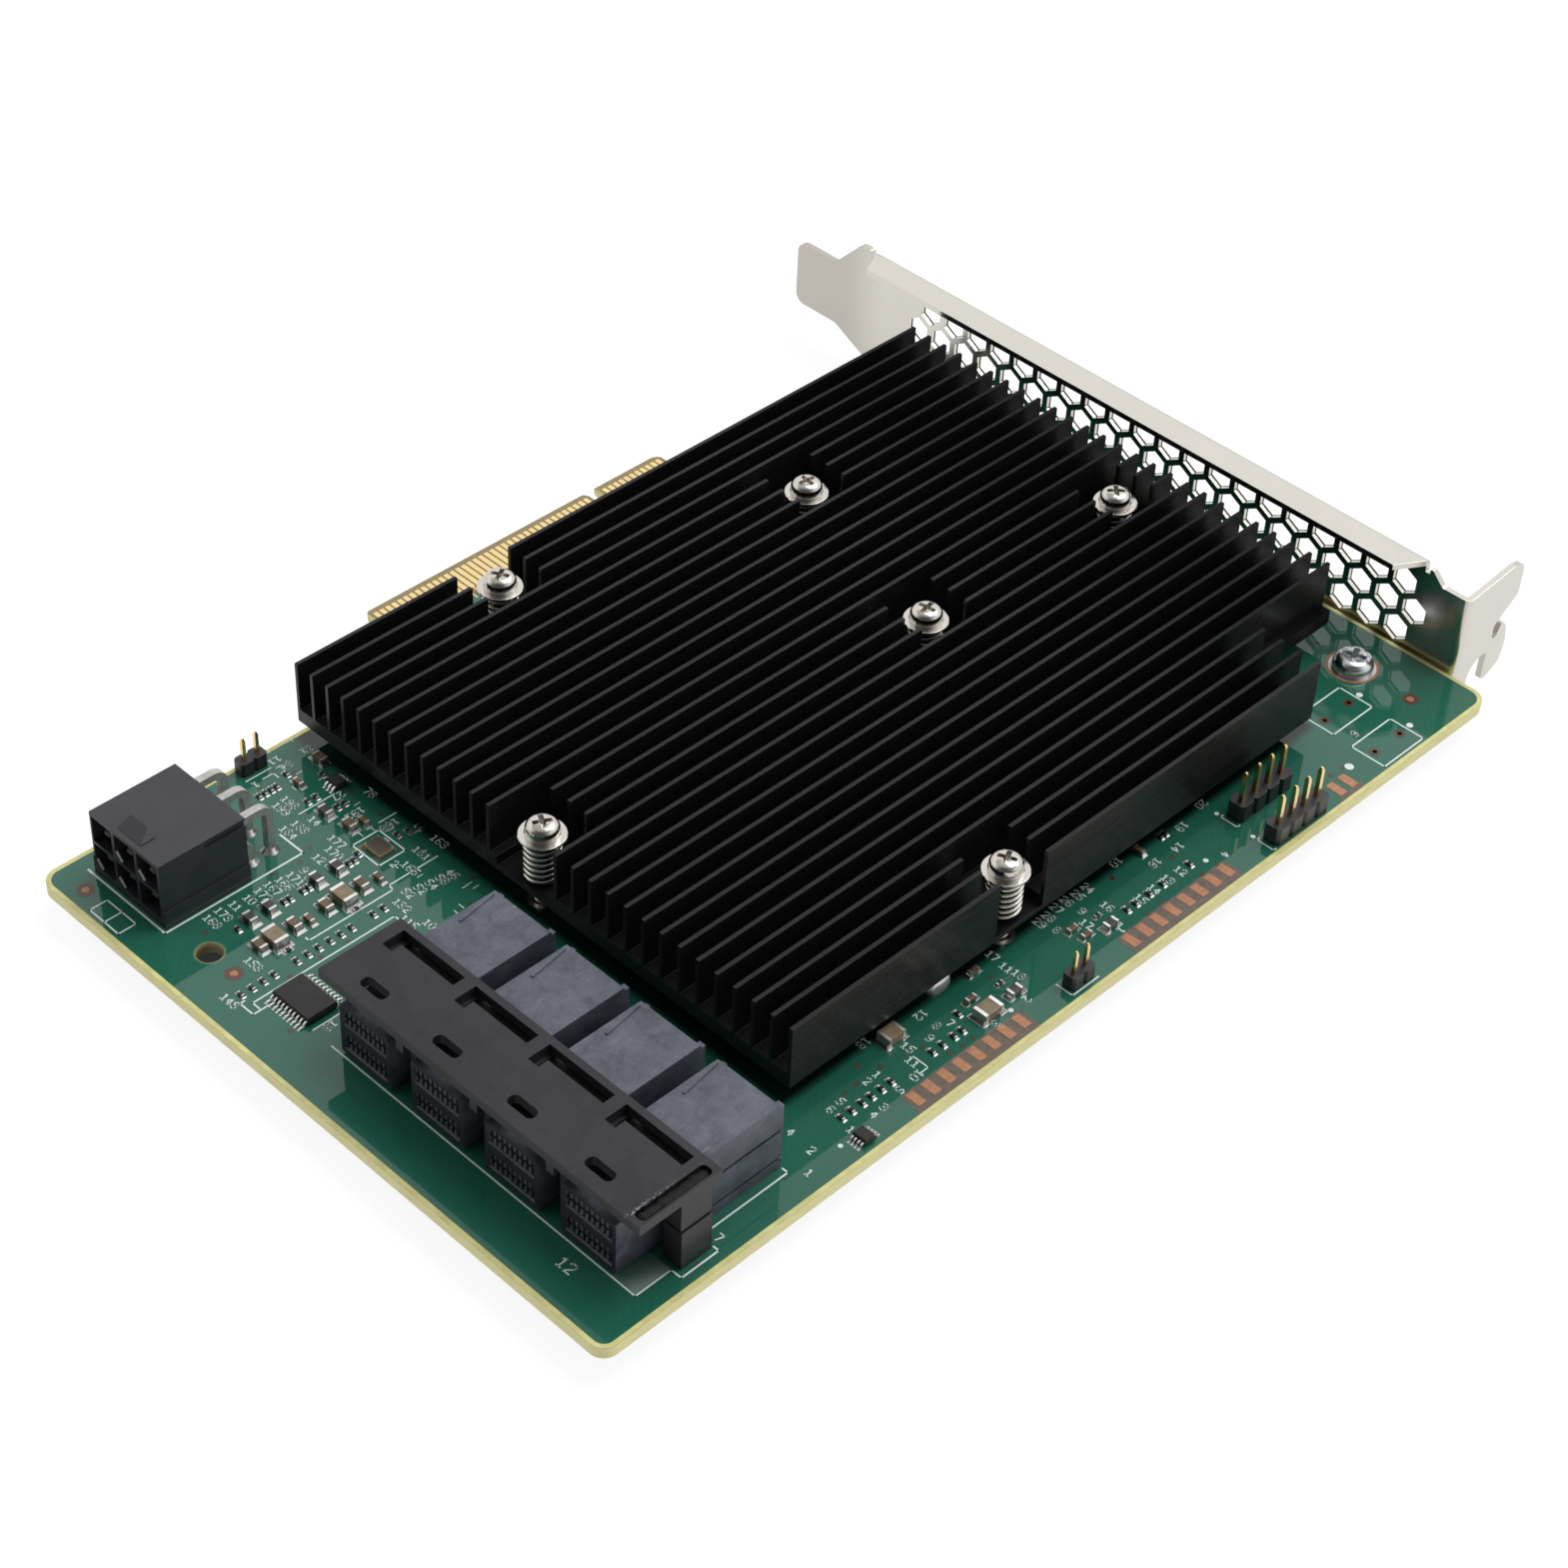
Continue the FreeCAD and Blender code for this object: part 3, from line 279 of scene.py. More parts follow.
def nickel(name, tint, rough, brushed=(0.05, 4.0, 4.0), smear=0.06, bump=0.04, punched=False, shade_top_z=None):
    """Bright plated metal with a drawn grain and faint handling marks; optional painted shade in punched holes, on an
    inner face and on a screw shank.
    """
    k = Mat(name)
    grain = k.noise(1.0, 4.0, 0.6, k.stretch(*brushed))
    cloud = k.noise(0.16, 3.0, 0.6)
    a = tuple(c * (1 - smear) for c in tint)
    col = k.ramp(k.math("ADD", k.math("MULTIPLY", cloud, 0.6), k.math("MULTIPLY", grain, 0.4)), [(0.3, a), (0.7, tint)])
    gloss = k.math("ADD", k.span(cloud, 0.3, 0.7, rough[0], rough[1]), k.math("MULTIPLY", grain, 0.05))
    if punched:
        # the holes' walls: sheared bright, then torn and dull towards the outer face, this darkening partly the real
        # fracture zone and partly painted shade inside the holes
        x, y, z = k.xyz()
        nx, ny, nz = k.normal()
        wall = k.math("MULTIPLY", k.span(k.math("ABSOLUTE", nx), 0.35, 0.6, 1.0, 0.0), k.math("MULTIPLY", k.span(y, 11.5, 11.6), k.span(y, 108.4, 108.5, 1.0, 0.0)))
        wall = k.math("MULTIPLY", wall, k.math("MULTIPLY", k.span(z, -0.6, -0.5), k.span(z, 12.5, 12.6, 1.0, 0.0)))
        torn_and_shade = k.math("MULTIPLY", wall, k.span(k.math("ADD", x, k.math("MULTIPLY", k.noise(1.5, 2.0), 0.16)), 0.95, 1.05))
        col = k.mix(torn_and_shade, col, (0.030, 0.028, 0.024))
        # duller plating towards the tongue; painted shade on the inside face of the near end
        dull = k.math("MULTIPLY", k.span(y, 108.0, 117.0, 0.0, 0.55, True), k.span(cloud, 0.2, 0.8, 0.8, 1.0))
        inner = k.math("MULTIPLY", k.span(nx, -0.9, -0.6, 1.0, 0.0), k.span(y, 20.0, 60.0, 0.6, 0.0, True))
        col = k.mix(k.math("MAXIMUM", dull, inner), col, (0.34, 0.315, 0.28))
        gloss = k.math("MAXIMUM", gloss, k.math("MULTIPLY", torn_and_shade, 0.6))
    if shade_top_z:
        # painted shade on the shank inside the spring, below the flange
        x, y, z = k.xyz()
        shade = k.math("MULTIPLY", k.span(z, shade_top_z - 0.05, shade_top_z, 1.0, 0.0), k.span(z, 2.9, 3.2))
        col = k.mix(shade, col, (0.045, 0.042, 0.038))
    k.set(color=col, metal=1.0, rough=gloss)
    k.bump(grain, bump, 0.02)
    return k.m


def dull_tin_shaded():
    k = Mat("dull_tin_shaded")
    x, y, z = k.xyz()
    f = k.noise(1.4, 3.0, 0.6)
    col = k.ramp(f, [(0.3, (0.40, 0.395, 0.375)), (0.7, (0.54, 0.53, 0.505))])
    # painted shade: the pins turn near-black inside the housing's cells
    k.set(color=k.mix(k.span(x, -144.0, -140.0, 1.0, 0.0), col, (0.012, 0.012, 0.012)))
    k.set(metal=0.55, rough=k.span(k.noise(3.0, 2.0), 0.3, 0.7, 0.30, 0.42))
    k.bump(f, 0.06, 0.03)
    return k.m


M = {
    "tin_shaded": dull_tin_shaded(),
    "board": board_material(),
    "anodised": anodised(),
    "bracket": nickel("nickel_sheet", (0.64, 0.615, 0.565), (0.13, 0.20), (3.0, 0.05, 3.0), 0.05, 0.03, True),
    "screw": nickel("nickel_screw", (0.63, 0.60, 0.55), (0.11, 0.17), (2.0, 2.0, 2.0), 0.10, 0.05, False, 9.9),
    "zinc": nickel("zinc_screw", (0.70, 0.73, 0.76), (0.14, 0.22), (2.0, 2.0, 2.0), 0.12, 0.06),
    "spring": nickel("spring_wire", (0.76, 0.72, 0.66), (0.15, 0.20), (2.0, 2.0, 2.0), 0.10, 0.0),
    "nut": nickel("nut_steel", (0.62, 0.62, 0.62), (0.22, 0.32), (2.0, 2.0, 2.0), 0.15, 0.08),
    "tin": nickel("bright_tin", (0.86, 0.85, 0.82), (0.32, 0.42), (1.5, 1.5, 1.5), 0.14, 0.05),
    "solder": nickel("solder", (0.74, 0.73, 0.71), (0.22, 0.34), (1.3, 1.3, 1.3), 0.20, 0.10),
    "gold": nickel("gold_pin", (0.88, 0.66, 0.30), (0.16, 0.24), (2.0, 2.0, 2.0), 0.10, 0.04),
    "finger": nickel("gold_finger", (0.90, 0.69, 0.34), (0.20, 0.30), (2.5, 0.3, 2.0), 0.12, 0.04),
    "contact": grainy("contact_alloy", (0.028, 0.029, 0.032), (0.07, 0.07, 0.075), 2.0, (0.25, 0.4), 0.3),
    "copper": grainy("bare_copper_pad", (0.36, 0.155, 0.075), (0.50, 0.235, 0.125), 1.6, (0.30, 0.42), 0.25, 0.10, 9.0),
    "laminate": grainy("bare_laminate", (0.095, 0.072, 0.050), (0.150, 0.118, 0.088), 1.2, (0.35, 0.5), 0.0, 0.12, 6.0),
    "rim": grainy("laminate_rim", (0.58, 0.55, 0.20), (0.78, 0.74, 0.32), 0.5, (0.35, 0.5), 0.0, 0.12, 5.0),
    "rimline": grainy("lacquer_edge", (0.13, 0.26, 0.09), (0.22, 0.36, 0.13), 0.8, (0.2, 0.3)),
    "halo": grainy("copper_under_lacquer", (0.062, 0.048, 0.030), (0.125, 0.060, 0.036), 1.2, (0.10, 0.18)),
    "ink": grainy("white_ink", (0.72, 0.81, 0.77), (0.85, 0.92, 0.89), 2.5, (0.35, 0.5), 0.0, 0.10, 8.0),
    "plate": moulded("cage_plastic", (0.0167, 0.0167, 0.0200), (0.0288, 0.0281, 0.0333), 0.16, (0.34, 0.44), 0.08, (0.06, 0.06, 0.065), 0.20, 0.27, True),
    "melt": moulded("worn_rail_plastic", (0.005, 0.005, 0.006), (0.014, 0.014, 0.015), 1.2, (0.40, 0.60), 0.5, (0.05, 0.05, 0.055), 0.25, 0.12),
    "port": moulded("port_plastic", (0.0356, 0.0400, 0.0574), (0.1068, 0.1155, 0.1485), 0.34, (0.36, 0.5), 0.18, (0.18, 0.19, 0.22), 0.40, 0.5, False, -146.9),
    "comb": moulded("port_comb", (0.040, 0.043, 0.054), (0.080, 0.086, 0.106), 0.6, (0.3, 0.45), 0.1),
    "power": moulded("power_plastic", (0.0180, 0.0189, 0.0245), (0.0312, 0.0327, 0.0422), 0.14, (0.30, 0.40), 0.14, (0.05, 0.052, 0.058), 0.15, 0.5, False, -149.5),
    # near-white painted glint colour for the power cells' lead-in edges
    "key_glint": grainy("painted_glint_edge", (0.78, 0.78, 0.77), (0.90, 0.90, 0.89), 2.0, (0.2, 0.3)),
    "header": moulded("header_plastic", (0.0105, 0.0105, 0.0130), (0.0230, 0.0230, 0.0285), 0.6, (0.34, 0.46), 0.18),
    "ic": moulded("ic_plastic", (0.0198, 0.0186, 0.0180), (0.0300, 0.0282, 0.0270), 0.8, (0.38, 0.5), 0.14, None, 0.0, 0.27),
    "package": moulded("chip_package", (0.020, 0.022, 0.020), (0.034, 0.036, 0.034), 0.3, (0.35, 0.5), 0.1),
    "pad": grainy("thermal_pad", (0.22, 0.23, 0.26), (0.30, 0.31, 0.34), 0.8, (0.6, 0.75), 0.0, 0.2, 4.0),
    "tan": grainy("ceramic_tan", (0.185, 0.140, 0.080), (0.290, 0.225, 0.140), 1.1, (0.28, 0.4), 0.0, 0.12, 9.0),
    "brown": grainy("ceramic_brown", (0.095, 0.060, 0.032), (0.165, 0.108, 0.062), 1.3, (0.28, 0.4), 0.0, 0.12, 9.0),
    "black": grainy("resistor_black", (0.010, 0.010, 0.011), (0.020, 0.019, 0.019), 1.6, (0.22, 0.34)),
    "ferrite": grainy("ferrite_grey", (0.030, 0.028, 0.026), (0.062, 0.058, 0.052), 1.6, (0.3, 0.42), 0.0, 0.12, 9.0),
    "lid": nickel("crystal_lid", (0.13, 0.115, 0.10), (0.30, 0.40), (2.0, 2.0, 2.0), 0.15, 0.05),
    "rimgold": nickel("crystal_rim", (0.62, 0.42, 0.27), (0.25, 0.35), (2.0, 2.0, 2.0), 0.15, 0.05),
}


# --------------------------------------------------------------- mesh helpers
class Build:
    """Collects closed shells in card millimetres and makes one object of them."""

    def __init__(self, *mats):
        self.mats = mats
        self.v, self.f, self.mi, self.sm = [], [], [], []

    def add(self, verts, faces, m=0, smooth=False):
        o = len(self.v)
        self.v += [tuple(p) for p in verts]
        self.f += [tuple(i + o for i in f) for f in faces]
        self.mi += [m] * len(faces)
        self.sm += [smooth] * len(faces)

    def box(self, x0, x1, y0, y1, z0, z1, m=0):
        v = [(x, y, z) for z in (z0, z1) for y in (y0, y1) for x in (x0, x1)]
        self.add(v, [(0, 2, 3, 1), (4, 5, 7, 6), (0, 1, 5, 4), (2, 6, 7, 3), (0, 4, 6, 2), (1, 3, 7, 5)], m)

    def hexa(self, bottom, top, m=0):
        """Solid between two four-corner loops, each anticlockwise from above."""
        self.add(list(bottom) + list(top), [(3, 2, 1, 0), (4, 5, 6, 7), (0, 1, 5, 4), (1, 2, 6, 5), (2, 3, 7, 6), (3, 0, 4, 7)], m)

    def prism(self, poly, z0, z1, m=0):
        n = len(poly)
        v = [(x, y, z0) for x, y in poly] + [(x, y, z1) for x, y in poly]
        self.add(v, [tuple(reversed(range(n))), tuple(range(n, 2 * n))] + [(i, (i + 1) % n, n + (i + 1) % n, n + i) for i in range(n)], m)

    def line(self, p, q, w, z0=-0.01, z1=0.022, m=0):
        """Straight printed stroke with square ends."""
        dx, dy = q[0] - p[0], q[1] - p[1]
        d = math.hypot(dx, dy) or 1.0
        ux, uy = dx / d * w / 2, dy / d * w / 2
        nx, ny = -uy, ux
        a = (p[0] - ux, p[1] - uy)
        b = (q[0] + ux, q[1] + uy)
        self.prism([(a[0] - nx, a[1] - ny), (b[0] - nx, b[1] - ny), (b[0] + nx, b[1] + ny), (a[0] + nx, a[1] + ny)], z0, z1, m)

    def path(self, pts, w, closed=False, m=0, z1=0.022):
        for i in range(len(pts) - (0 if closed else 1)):
            self.line(pts[i], pts[(i + 1) % len(pts)], w, m=m, z1=z1)

    def lathe(self, prof, x, y, n=24, m=0, smooth=True, flip=False):
        """Closed turned shell from (r, z) points; the first and last lie on the axis."""
        v, f = [], []
        rings = []
        for r, z in prof:
            if r < 1e-9:
                rings.append([len(v)])
                v.append((x, y, z))
            else:
                rings.append(list(range(len(v), len(v) + n)))
                v += [(x + r * math.cos(2 * math.pi * i / n), y + r * math.sin(2 * math.pi * i / n), z) for i in range(n)]
        for a, b in zip(rings, rings[1:]):
            for i in range(n):
                j = (i + 1) % n
                if len(a) == 1:
                    q = (a[0], b[j], b[i])
                elif len(b) == 1:
                    q = (a[i], a[j], b[0])
                else:
                    q = (a[i], a[j], b[j], b[i])
                f.append(tuple(reversed(q)) if flip else q)
        self.add(v, f, m, smooth)

    def ring(self, x, y, r0, r1, z0, z1, n=24, m=0):
        """Flat washer."""
        v, f = [], []
        for i in range(n):
            c, s = math.cos(2 * math.pi * i / n), math.sin(2 * math.pi * i / n)
            v += [(x + r0 * c, y + r0 * s, z0), (x + r1 * c, y + r1 * s, z0), (x + r1 * c, y + r1 * s, z1), (x + r0 * c, y + r0 * s, z1)]
        for i in range(n):
            a, b = 4 * i, 4 * ((i + 1) % n)
            for k in range(4):
                f.append((a + k, b + k, b + (k + 1) % 4, a + (k + 1) % 4))
        self.add(v, [tuple(reversed(q)) for q in f], m)

    def disc(self, x, y, r, z0, z1, n=24, m=0):
        self.prism([(x + r * math.cos(2 * math.pi * i / n), y + r * math.sin(2 * math.pi * i / n)) for i in range(n)], z0, z1, m)

    def tube(self, pts, radii, sides=10, m=0):
        """Round bar through a list of points, closed at both ends."""
        P3 = [Vector(p) for p in pts]
        v, f = [], []
        up = Vector((0, 0, 1))
        for i, p in enumerate(P3):
            t = (P3[min(i + 1, len(P3) - 1)] - P3[max(i - 1, 0)]).normalized()
            a = t.cross(up)
            if a.length < 1e-6:
                a = Vector((1, 0, 0))
            a.normalize()
            b = a.cross(t)
            r = radii[i] if isinstance(radii, (list, tuple)) else radii
            for k in range(sides):
                c, s = math.cos(2 * math.pi * k / sides), math.sin(2 * math.pi * k / sides)
                v.append(p + a * (r * c) + b * (r * s))
        n = len(P3)
        for i in range(n - 1):
            for k in range(sides):
                j = (k + 1) % sides
                f.append((i * sides + k, i * sides + j, (i + 1) * sides + j, (i + 1) * sides + k))
        f.append(tuple(reversed(range(sides))))
        f.append(tuple(range((n - 1) * sides, n * sides)))
        self.add(v, f, m, True)

    def loft(self, rings, m=0, smooth=True):
        """Skin through equal loops of points, closed at both ends."""
        n, c = len(rings), len(rings[0])
        v = [p for ring in rings for p in ring]
        f = [(i * c + k, i * c + (k + 1) % c, (i + 1) * c + (k + 1) % c, (i + 1) * c + k) for i in range(n - 1) for k in range(c)]
        f += [tuple(reversed(range(c))), tuple(range((n - 1) * c, n * c))]
        self.add(v, f, m, smooth)

    def done(self, name, bevel=0.0, seg=2, angle=30.0, sharp=35.0, replaces=()):
        me = bpy.data.meshes.new(name)
        me.from_pydata([P(*p) for p in self.v], [], self.f)
        me.polygons.foreach_set("material_index", self.mi)
        me.polygons.foreach_set("use_smooth", self.sm)
        return finish_piece(name, me, self.mats, bevel, seg, angle, sharp, replaces)


def finish_piece(name, me, mats, bevel, seg, angle, sharp, replaces, dissolve=False, fix=True):
    bm = bmesh.new()
    bm.from_mesh(me)
    if dissolve:
        bmesh.ops.remove_doubles(bm, verts=bm.verts, dist=2e-7)
        bmesh.ops.dissolve_limit(bm, angle_limit=math.radians(0.4), verts=bm.verts, edges=bm.edges)
    if bevel:
        edges = [e for e in bm.edges if len(e.link_faces) == 2 and e.calc_face_angle(0.0) > math.radians(angle)]
        cut = bmesh.ops.bevel(bm, geom=edges, offset=bevel * MM, offset_type="OFFSET", segments=seg, profile=0.6, affect="EDGES", clamp_overlap=True)
        for f in bm.faces:
            f.smooth = True
    if fix:
        bmesh.ops.recalc_face_normals(bm, faces=bm.faces)
    normals = None
    if bevel:
        # shading follows the main faces; the narrow edge faces blend between them
        bm.normal_update()
        narrow = set(cut["faces"])
        weight = {f: f.calc_area() * (1e-4 if f in narrow else 1.0) for f in bm.faces}
        limit = math.cos(math.radians(max(sharp, 50.0)))
        normals = []
        for f in bm.faces:
            for v in f.verts:
                n = Vector((0, 0, 0))
                for g in v.link_faces:
                    if g.normal.dot(f.normal) > limit:
                        n += g.normal * weight[g]
                normals.append(n.normalized() if n.length > 1e-20 else f.normal.copy())
    out = bpy.data.meshes.new(name)
    bm.to_mesh(out)
    bm.free()
    for a in ("custom_normal", "sharp_edge"):
        if a in out.attributes:
            out.attributes.remove(out.attributes[a])
    if dissolve:
        for p in out.polygons:
            p.use_smooth = True
    if normals:
        out.normals_split_custom_set([tuple(n) for n in normals])
    else:
        out.set_sharp_from_angle(angle=math.radians(sharp))
    for m in mats:
        out.materials.append(M[m])
    ob = bpy.data.objects.new(name, out)
    bpy.context.scene.collection.objects.link(ob)
    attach(ob, "root")
    if replaces:
        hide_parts(*replaces)
    return ob


def refined(node, name, mat, bevel, seg=2, angle=30.0, sharp=35.0):
    """The CAD node's own shape with softened edges and smooth round faces."""
    me = bpy.data.meshes.new(name + "_src")
    bm = bmesh.new()
    bm.from_mesh(NODES[node].data)
    for f in bm.faces:
        f.material_index = 0
    bm.to_mesh(me)
    bm.free()
    return finish_piece(name, me, (mat,), bevel, seg, angle, sharp, (node,), dissolve=True)


def dress(node, mat):
    d = NODES[node].data
    d.materials.clear()
    d.materials.append(M[mat])


def rounded(points, seg=7):
    """Corner list (x, y, r) to a polygon with arcs."""
    out = []
    n = len(points)
    for i in range(n):
        px, py = points[i - 1][:2]
        x, y, r = points[i]
        qx, qy = points[(i + 1) % n][:2]
        a, b = math.hypot(px - x, py - y), math.hypot(qx - x, qy - y)
        d1, d2 = ((px - x) / a, (py - y) / a), ((qx - x) / b, (qy - y) / b)
        half = math.acos(max(-1, min(1, d1[0] * d2[0] + d1[1] * d2[1]))) / 2
        t = r / math.tan(half)
        bl = math.hypot(d1[0] + d2[0], d1[1] + d2[1])
        h = r / math.sin(half)
        cx, cy = x + (d1[0] + d2[0]) / bl * h, y + (d1[1] + d2[1]) / bl * h
        s = (x + d1[0] * t, y + d1[1] * t)
        e = (x + d2[0] * t, y + d2[1] * t)
        a0, a1 = math.atan2(s[1] - cy, s[0] - cx), math.atan2(e[1] - cy, e[0] - cx)
        while a1 - a0 > math.pi:
            a1 -= 2 * math.pi
        while a1 - a0 < -math.pi:
            a1 += 2 * math.pi
        for k in range(seg + 1):
            w = a0 + (a1 - a0) * k / seg
            out.append((cx + r * math.cos(w), cy + r * math.sin(w)))
    return out


# ---------------------------------------------------------------- part layout
BOARD_L, BOARD_T, BOARD_W, BOARD_WB = 155.65, 1.57, 97.9, 102.9
SCREWS = [(-79.1, 14.1), (-114.2, 55.0), (-51.8, 52.1), (-15.0, 52.1), (-43.7, 81.2), (-86.9, 93.2)]
LED_HOLES = [(-19.4, 11.8), (-14.3, 11.9), (-19.6, 3.7), (-14.4, 3.7)]
HEADERS = {"a": (2.2, (-41.65, -39.1, -36.6, -34.0)), "b": (7.9, (-41.65, -39.1, -36.6, -34.0))}
JUMPERS = {"a": (2.5, (-79.2, -77.2)), "b": (96.5, (-125.9, -123.9))}
POWER_PIN_Y = (83.3, 87.6, 91.9)
POWER_ROWS_X = (-132.5, -135.6)
PORT_Y0, PORT_W, PORT_PITCH = 5.75, 9.4, 12.1
BR_EARS, BR_SCREW_X = (16.1, 99.5), -8.0

# ------------------------------------------------------- carried-over CAD nodes
dress("circuit_board", "board")
refined("heat_sink", "finned_heat_sink", "anodised", 0.20, 3)
refined("io_bracket", "slot_bracket", "bracket", 0.05, 2, 40.0, 40.0)
refined("heatsink_screws", "spring_screws", "screw", 0.025, 2, 35.0, 35.0)
refined("bracket_screws", "pan_screws", "zinc", 0.03, 2, 35.0, 35.0)
refined("heatsink_nuts", "solder_side_nuts", "nut", 0.04)
refined("sas_cage", "port_cage", "plate", 0.14)
for k in range(4):
    refined("sas_port_%d" % (k + 1), "port_block_%d" % (k + 1), "port", 0.10)
    dress("sas_contacts_%d" % (k + 1), "contact")
refined("power_housing", "power_shell", "power", 0.10)
refined("power_pins", "power_bent_pins", "tin_shaded", 0.10, 2, 40.0)
for t in "ab":
    refined("header_base_" + t, "header_block_" + t, "header", 0.06)
    refined("jumper_base_" + t, "jumper_block_" + t, "header", 0.05)
    refined("header_pins_" + t, "header_posts_" + t, "gold", 0.04)
    refined("jumper_pins_" + t, "jumper_posts_" + t, "gold", 0.04)
for n in ("controller_chip_1", "controller_chip_2", "switch_chip"):
    refined(n, n + "_package", "package", 0.08)
for k in range(3):
    dress("thermal_pad_%d" % (k + 1), "pad")

# --------------------------------------------------------------- board details
CORNERS = [(-BOARD_L, 0, 2.0), (0, 0, 2.5), (0, BOARD_WB, 1.5), (-42.65, BOARD_WB, 0.8), (-42.65, 111.15, 1.0), (-54.3, 111.15, 0.3),
           (-54.3, 103.4, 0.94), (-56.2, 103.4, 0.94), (-56.2, 111.15, 0.3), (-94.85, 111.15, 1.0), (-94.85, BOARD_WB, 0.8),
           (-107.0, BOARD_WB, 1.0), (-107.0, BOARD_W, 1.0), (-BOARD_L, BOARD_W, 2.5)]


def inset(corners, d):
    """Square-cornered outline moved inwards, radii following."""
    out = []
    n = len(corners)
    for i in range(n):
        p, c, q = corners[i - 1], corners[i], corners[(i + 1) % n]
        d1, d2 = (c[0] - p[0], c[1] - p[1]), (q[0] - c[0], q[1] - c[1])
        nrm = lambda v: (-v[1] / math.hypot(*v), v[0] / math.hypot(*v))
        n1, n2 = nrm(d1), nrm(d2)
        turn = d1[0] * d2[1] - d1[1] * d2[0]
        r = max(0.05, c[2] - d) if turn > 0 else c[2] + d
        out.append((c[0] + (n1[0] + n2[0]) * d, c[1] + (n1[1] + n2[1]) * d, r))
    return out


def border(name, d0, d1, zt, mat):
    """Flat band that follows the board outline between two insets, not round the finger tab."""
    a, b = rounded(inset(CORNERS, d0)), rounded(inset(CORNERS, d1))
    B = Build(mat)
    n = len(a)
    keep = [a[i][1] < BOARD_WB - 0.05 + 0.06 and b[i][1] < BOARD_WB for i in range(n)]
    start = next(i for i in range(n) if keep[i] and not keep[i - 1])
    run = []
    i = start
    while keep[i % n] and len(run) < n:
        run.append(i % n)
        i += 1
    v, f = [], []
    for j in run:
        v += [(a[j][0], a[j][1], -0.02), (b[j][0], b[j][1], -0.02), (b[j][0], b[j][1], zt), (a[j][0], a[j][1], zt)]
    for j in range(len(run) - 1):
        p, q = 4 * j, 4 * (j + 1)
        for k in range(4):
            f.append((p + k, q + k, q + (k + 1) % 4, p + (k + 1) % 4))
    e = 4 * (len(run) - 1)
    f += [(0, 1, 2, 3), (e + 3, e + 2, e + 1, e)]
    B.add(v, f)
    return B.done(name)


border("board_rim", 0.02, 0.62, 0.016, "rim")
border("board_rim_line", 0.60, 0.86, 0.020, "rimline")

# gold fingers on both faces of the tab
fingers = Build("finger")
xs = [-94.1 + 1.0 * i for i in range(38)] + [-53.6 + 1.0 * i for i in range(11)]
for i, x in enumerate(xs):
    y1 = 109.85
    y0 = 105.3 if i not in (1, 46) else 106.3
    for z0, z1 in ((-0.02, 0.035), (-BOARD_T - 0.035, -BOARD_T + 0.02)):
        fingers.prism(rounded([(x - 0.35, y0, 0.12), (x + 0.35, y0, 0.12), (x + 0.35, y1, 0.12), (x - 0.35, y1, 0.12)], 3), z0, z1)
    for z0, z1 in ((-0.02, 0.024), (-BOARD_T - 0.024, -BOARD_T + 0.02)):
        fingers.line((x, y0 - 1.9), (x, y0 + 0.1), 0.22, z0, z1)
fingers.done("edge_fingers")

# bare strips with copper test pads along the near edge
strip = Build("laminate", "copper")
for xa in (-105.75, -68.5):
    strip.prism(rounded([(xa - 1.2, 0.62, 0.2), (xa + 7 * 2.535 + 1.2, 0.62, 0.2), (xa + 7 * 2.535 + 1.2, 3.95, 0.2), (xa - 1.2, 3.95, 0.2)], 3), -0.02, 0.014, 0)
    for i in range(8):
        x = xa + 2.535 * i
        strip.prism(rounded([(x - 0.62, 1.5, 0.1), (x + 0.62, 1.5, 0.1), (x + 0.62, 3.7, 0.1), (x - 0.62, 3.7, 0.1)], 3), -0.02, 0.05, 1)
strip.prism(rounded([(-30.0, 0.62, 0.2), (-25.5, 0.62, 0.2), (-25.5, 1.5, 0.2), (-30.0, 1.5, 0.2)], 3), -0.02, 0.014, 0)
for x in (-28.9, -26.6):
    strip.prism(rounded([(x - 0.65, 1.4, 0.1), (x + 0.65, 1.4, 0.1), (x + 0.65, 3.85, 0.1), (x - 0.65, 3.85, 0.1)], 3), -0.02, 0.05, 1)
strip.done("test_pads")

# fiducials, plated rings, vias
rings = Build("copper", "halo", "solder")
for x, y in ((-152.7, 92.4), (-148.7, 69.6), (-7.8, 6.9)):
    rings.disc(x, y, 1.15, -0.02, 0.012, 28, 1)
    rings.disc(x, y, 0.48, -0.02, 0.03, 20, 0)
for y in BR_EARS:
    rings.ring(BR_SCREW_X, y, 1.6, 3.15, -0.02, 0.025, 40, 2)
    rings.ring(BR_SCREW_X, y, 3.15, 3.5, -0.02, 0.03, 40, 0)
    rings.ring(BR_SCREW_X, y, 1.6, 3.2, -BOARD_T - 0.02, -BOARD_T + 0.02, 40, 2)
for x, y in LED_HOLES:
    for z0, z1 in ((-0.02, 0.03), (-BOARD_T - 0.03, -BOARD_T + 0.02)):
        rings.ring(x, y, 0.34, 0.74, z0, z1, 24, 1)
    rings.ring(x, y, 0.33, 0.405, -BOARD_T - 0.01, 0.02, 24, 1)
for x, y in SCREWS:
    for z0, z1 in ((-0.02, 0.025), (-BOARD_T - 0.025, -BOARD_T + 0.02)):
        rings.ring(x, y, 1.45, 2.0 if z0 > -1 else 3.3, z0, z1, 36, 2)
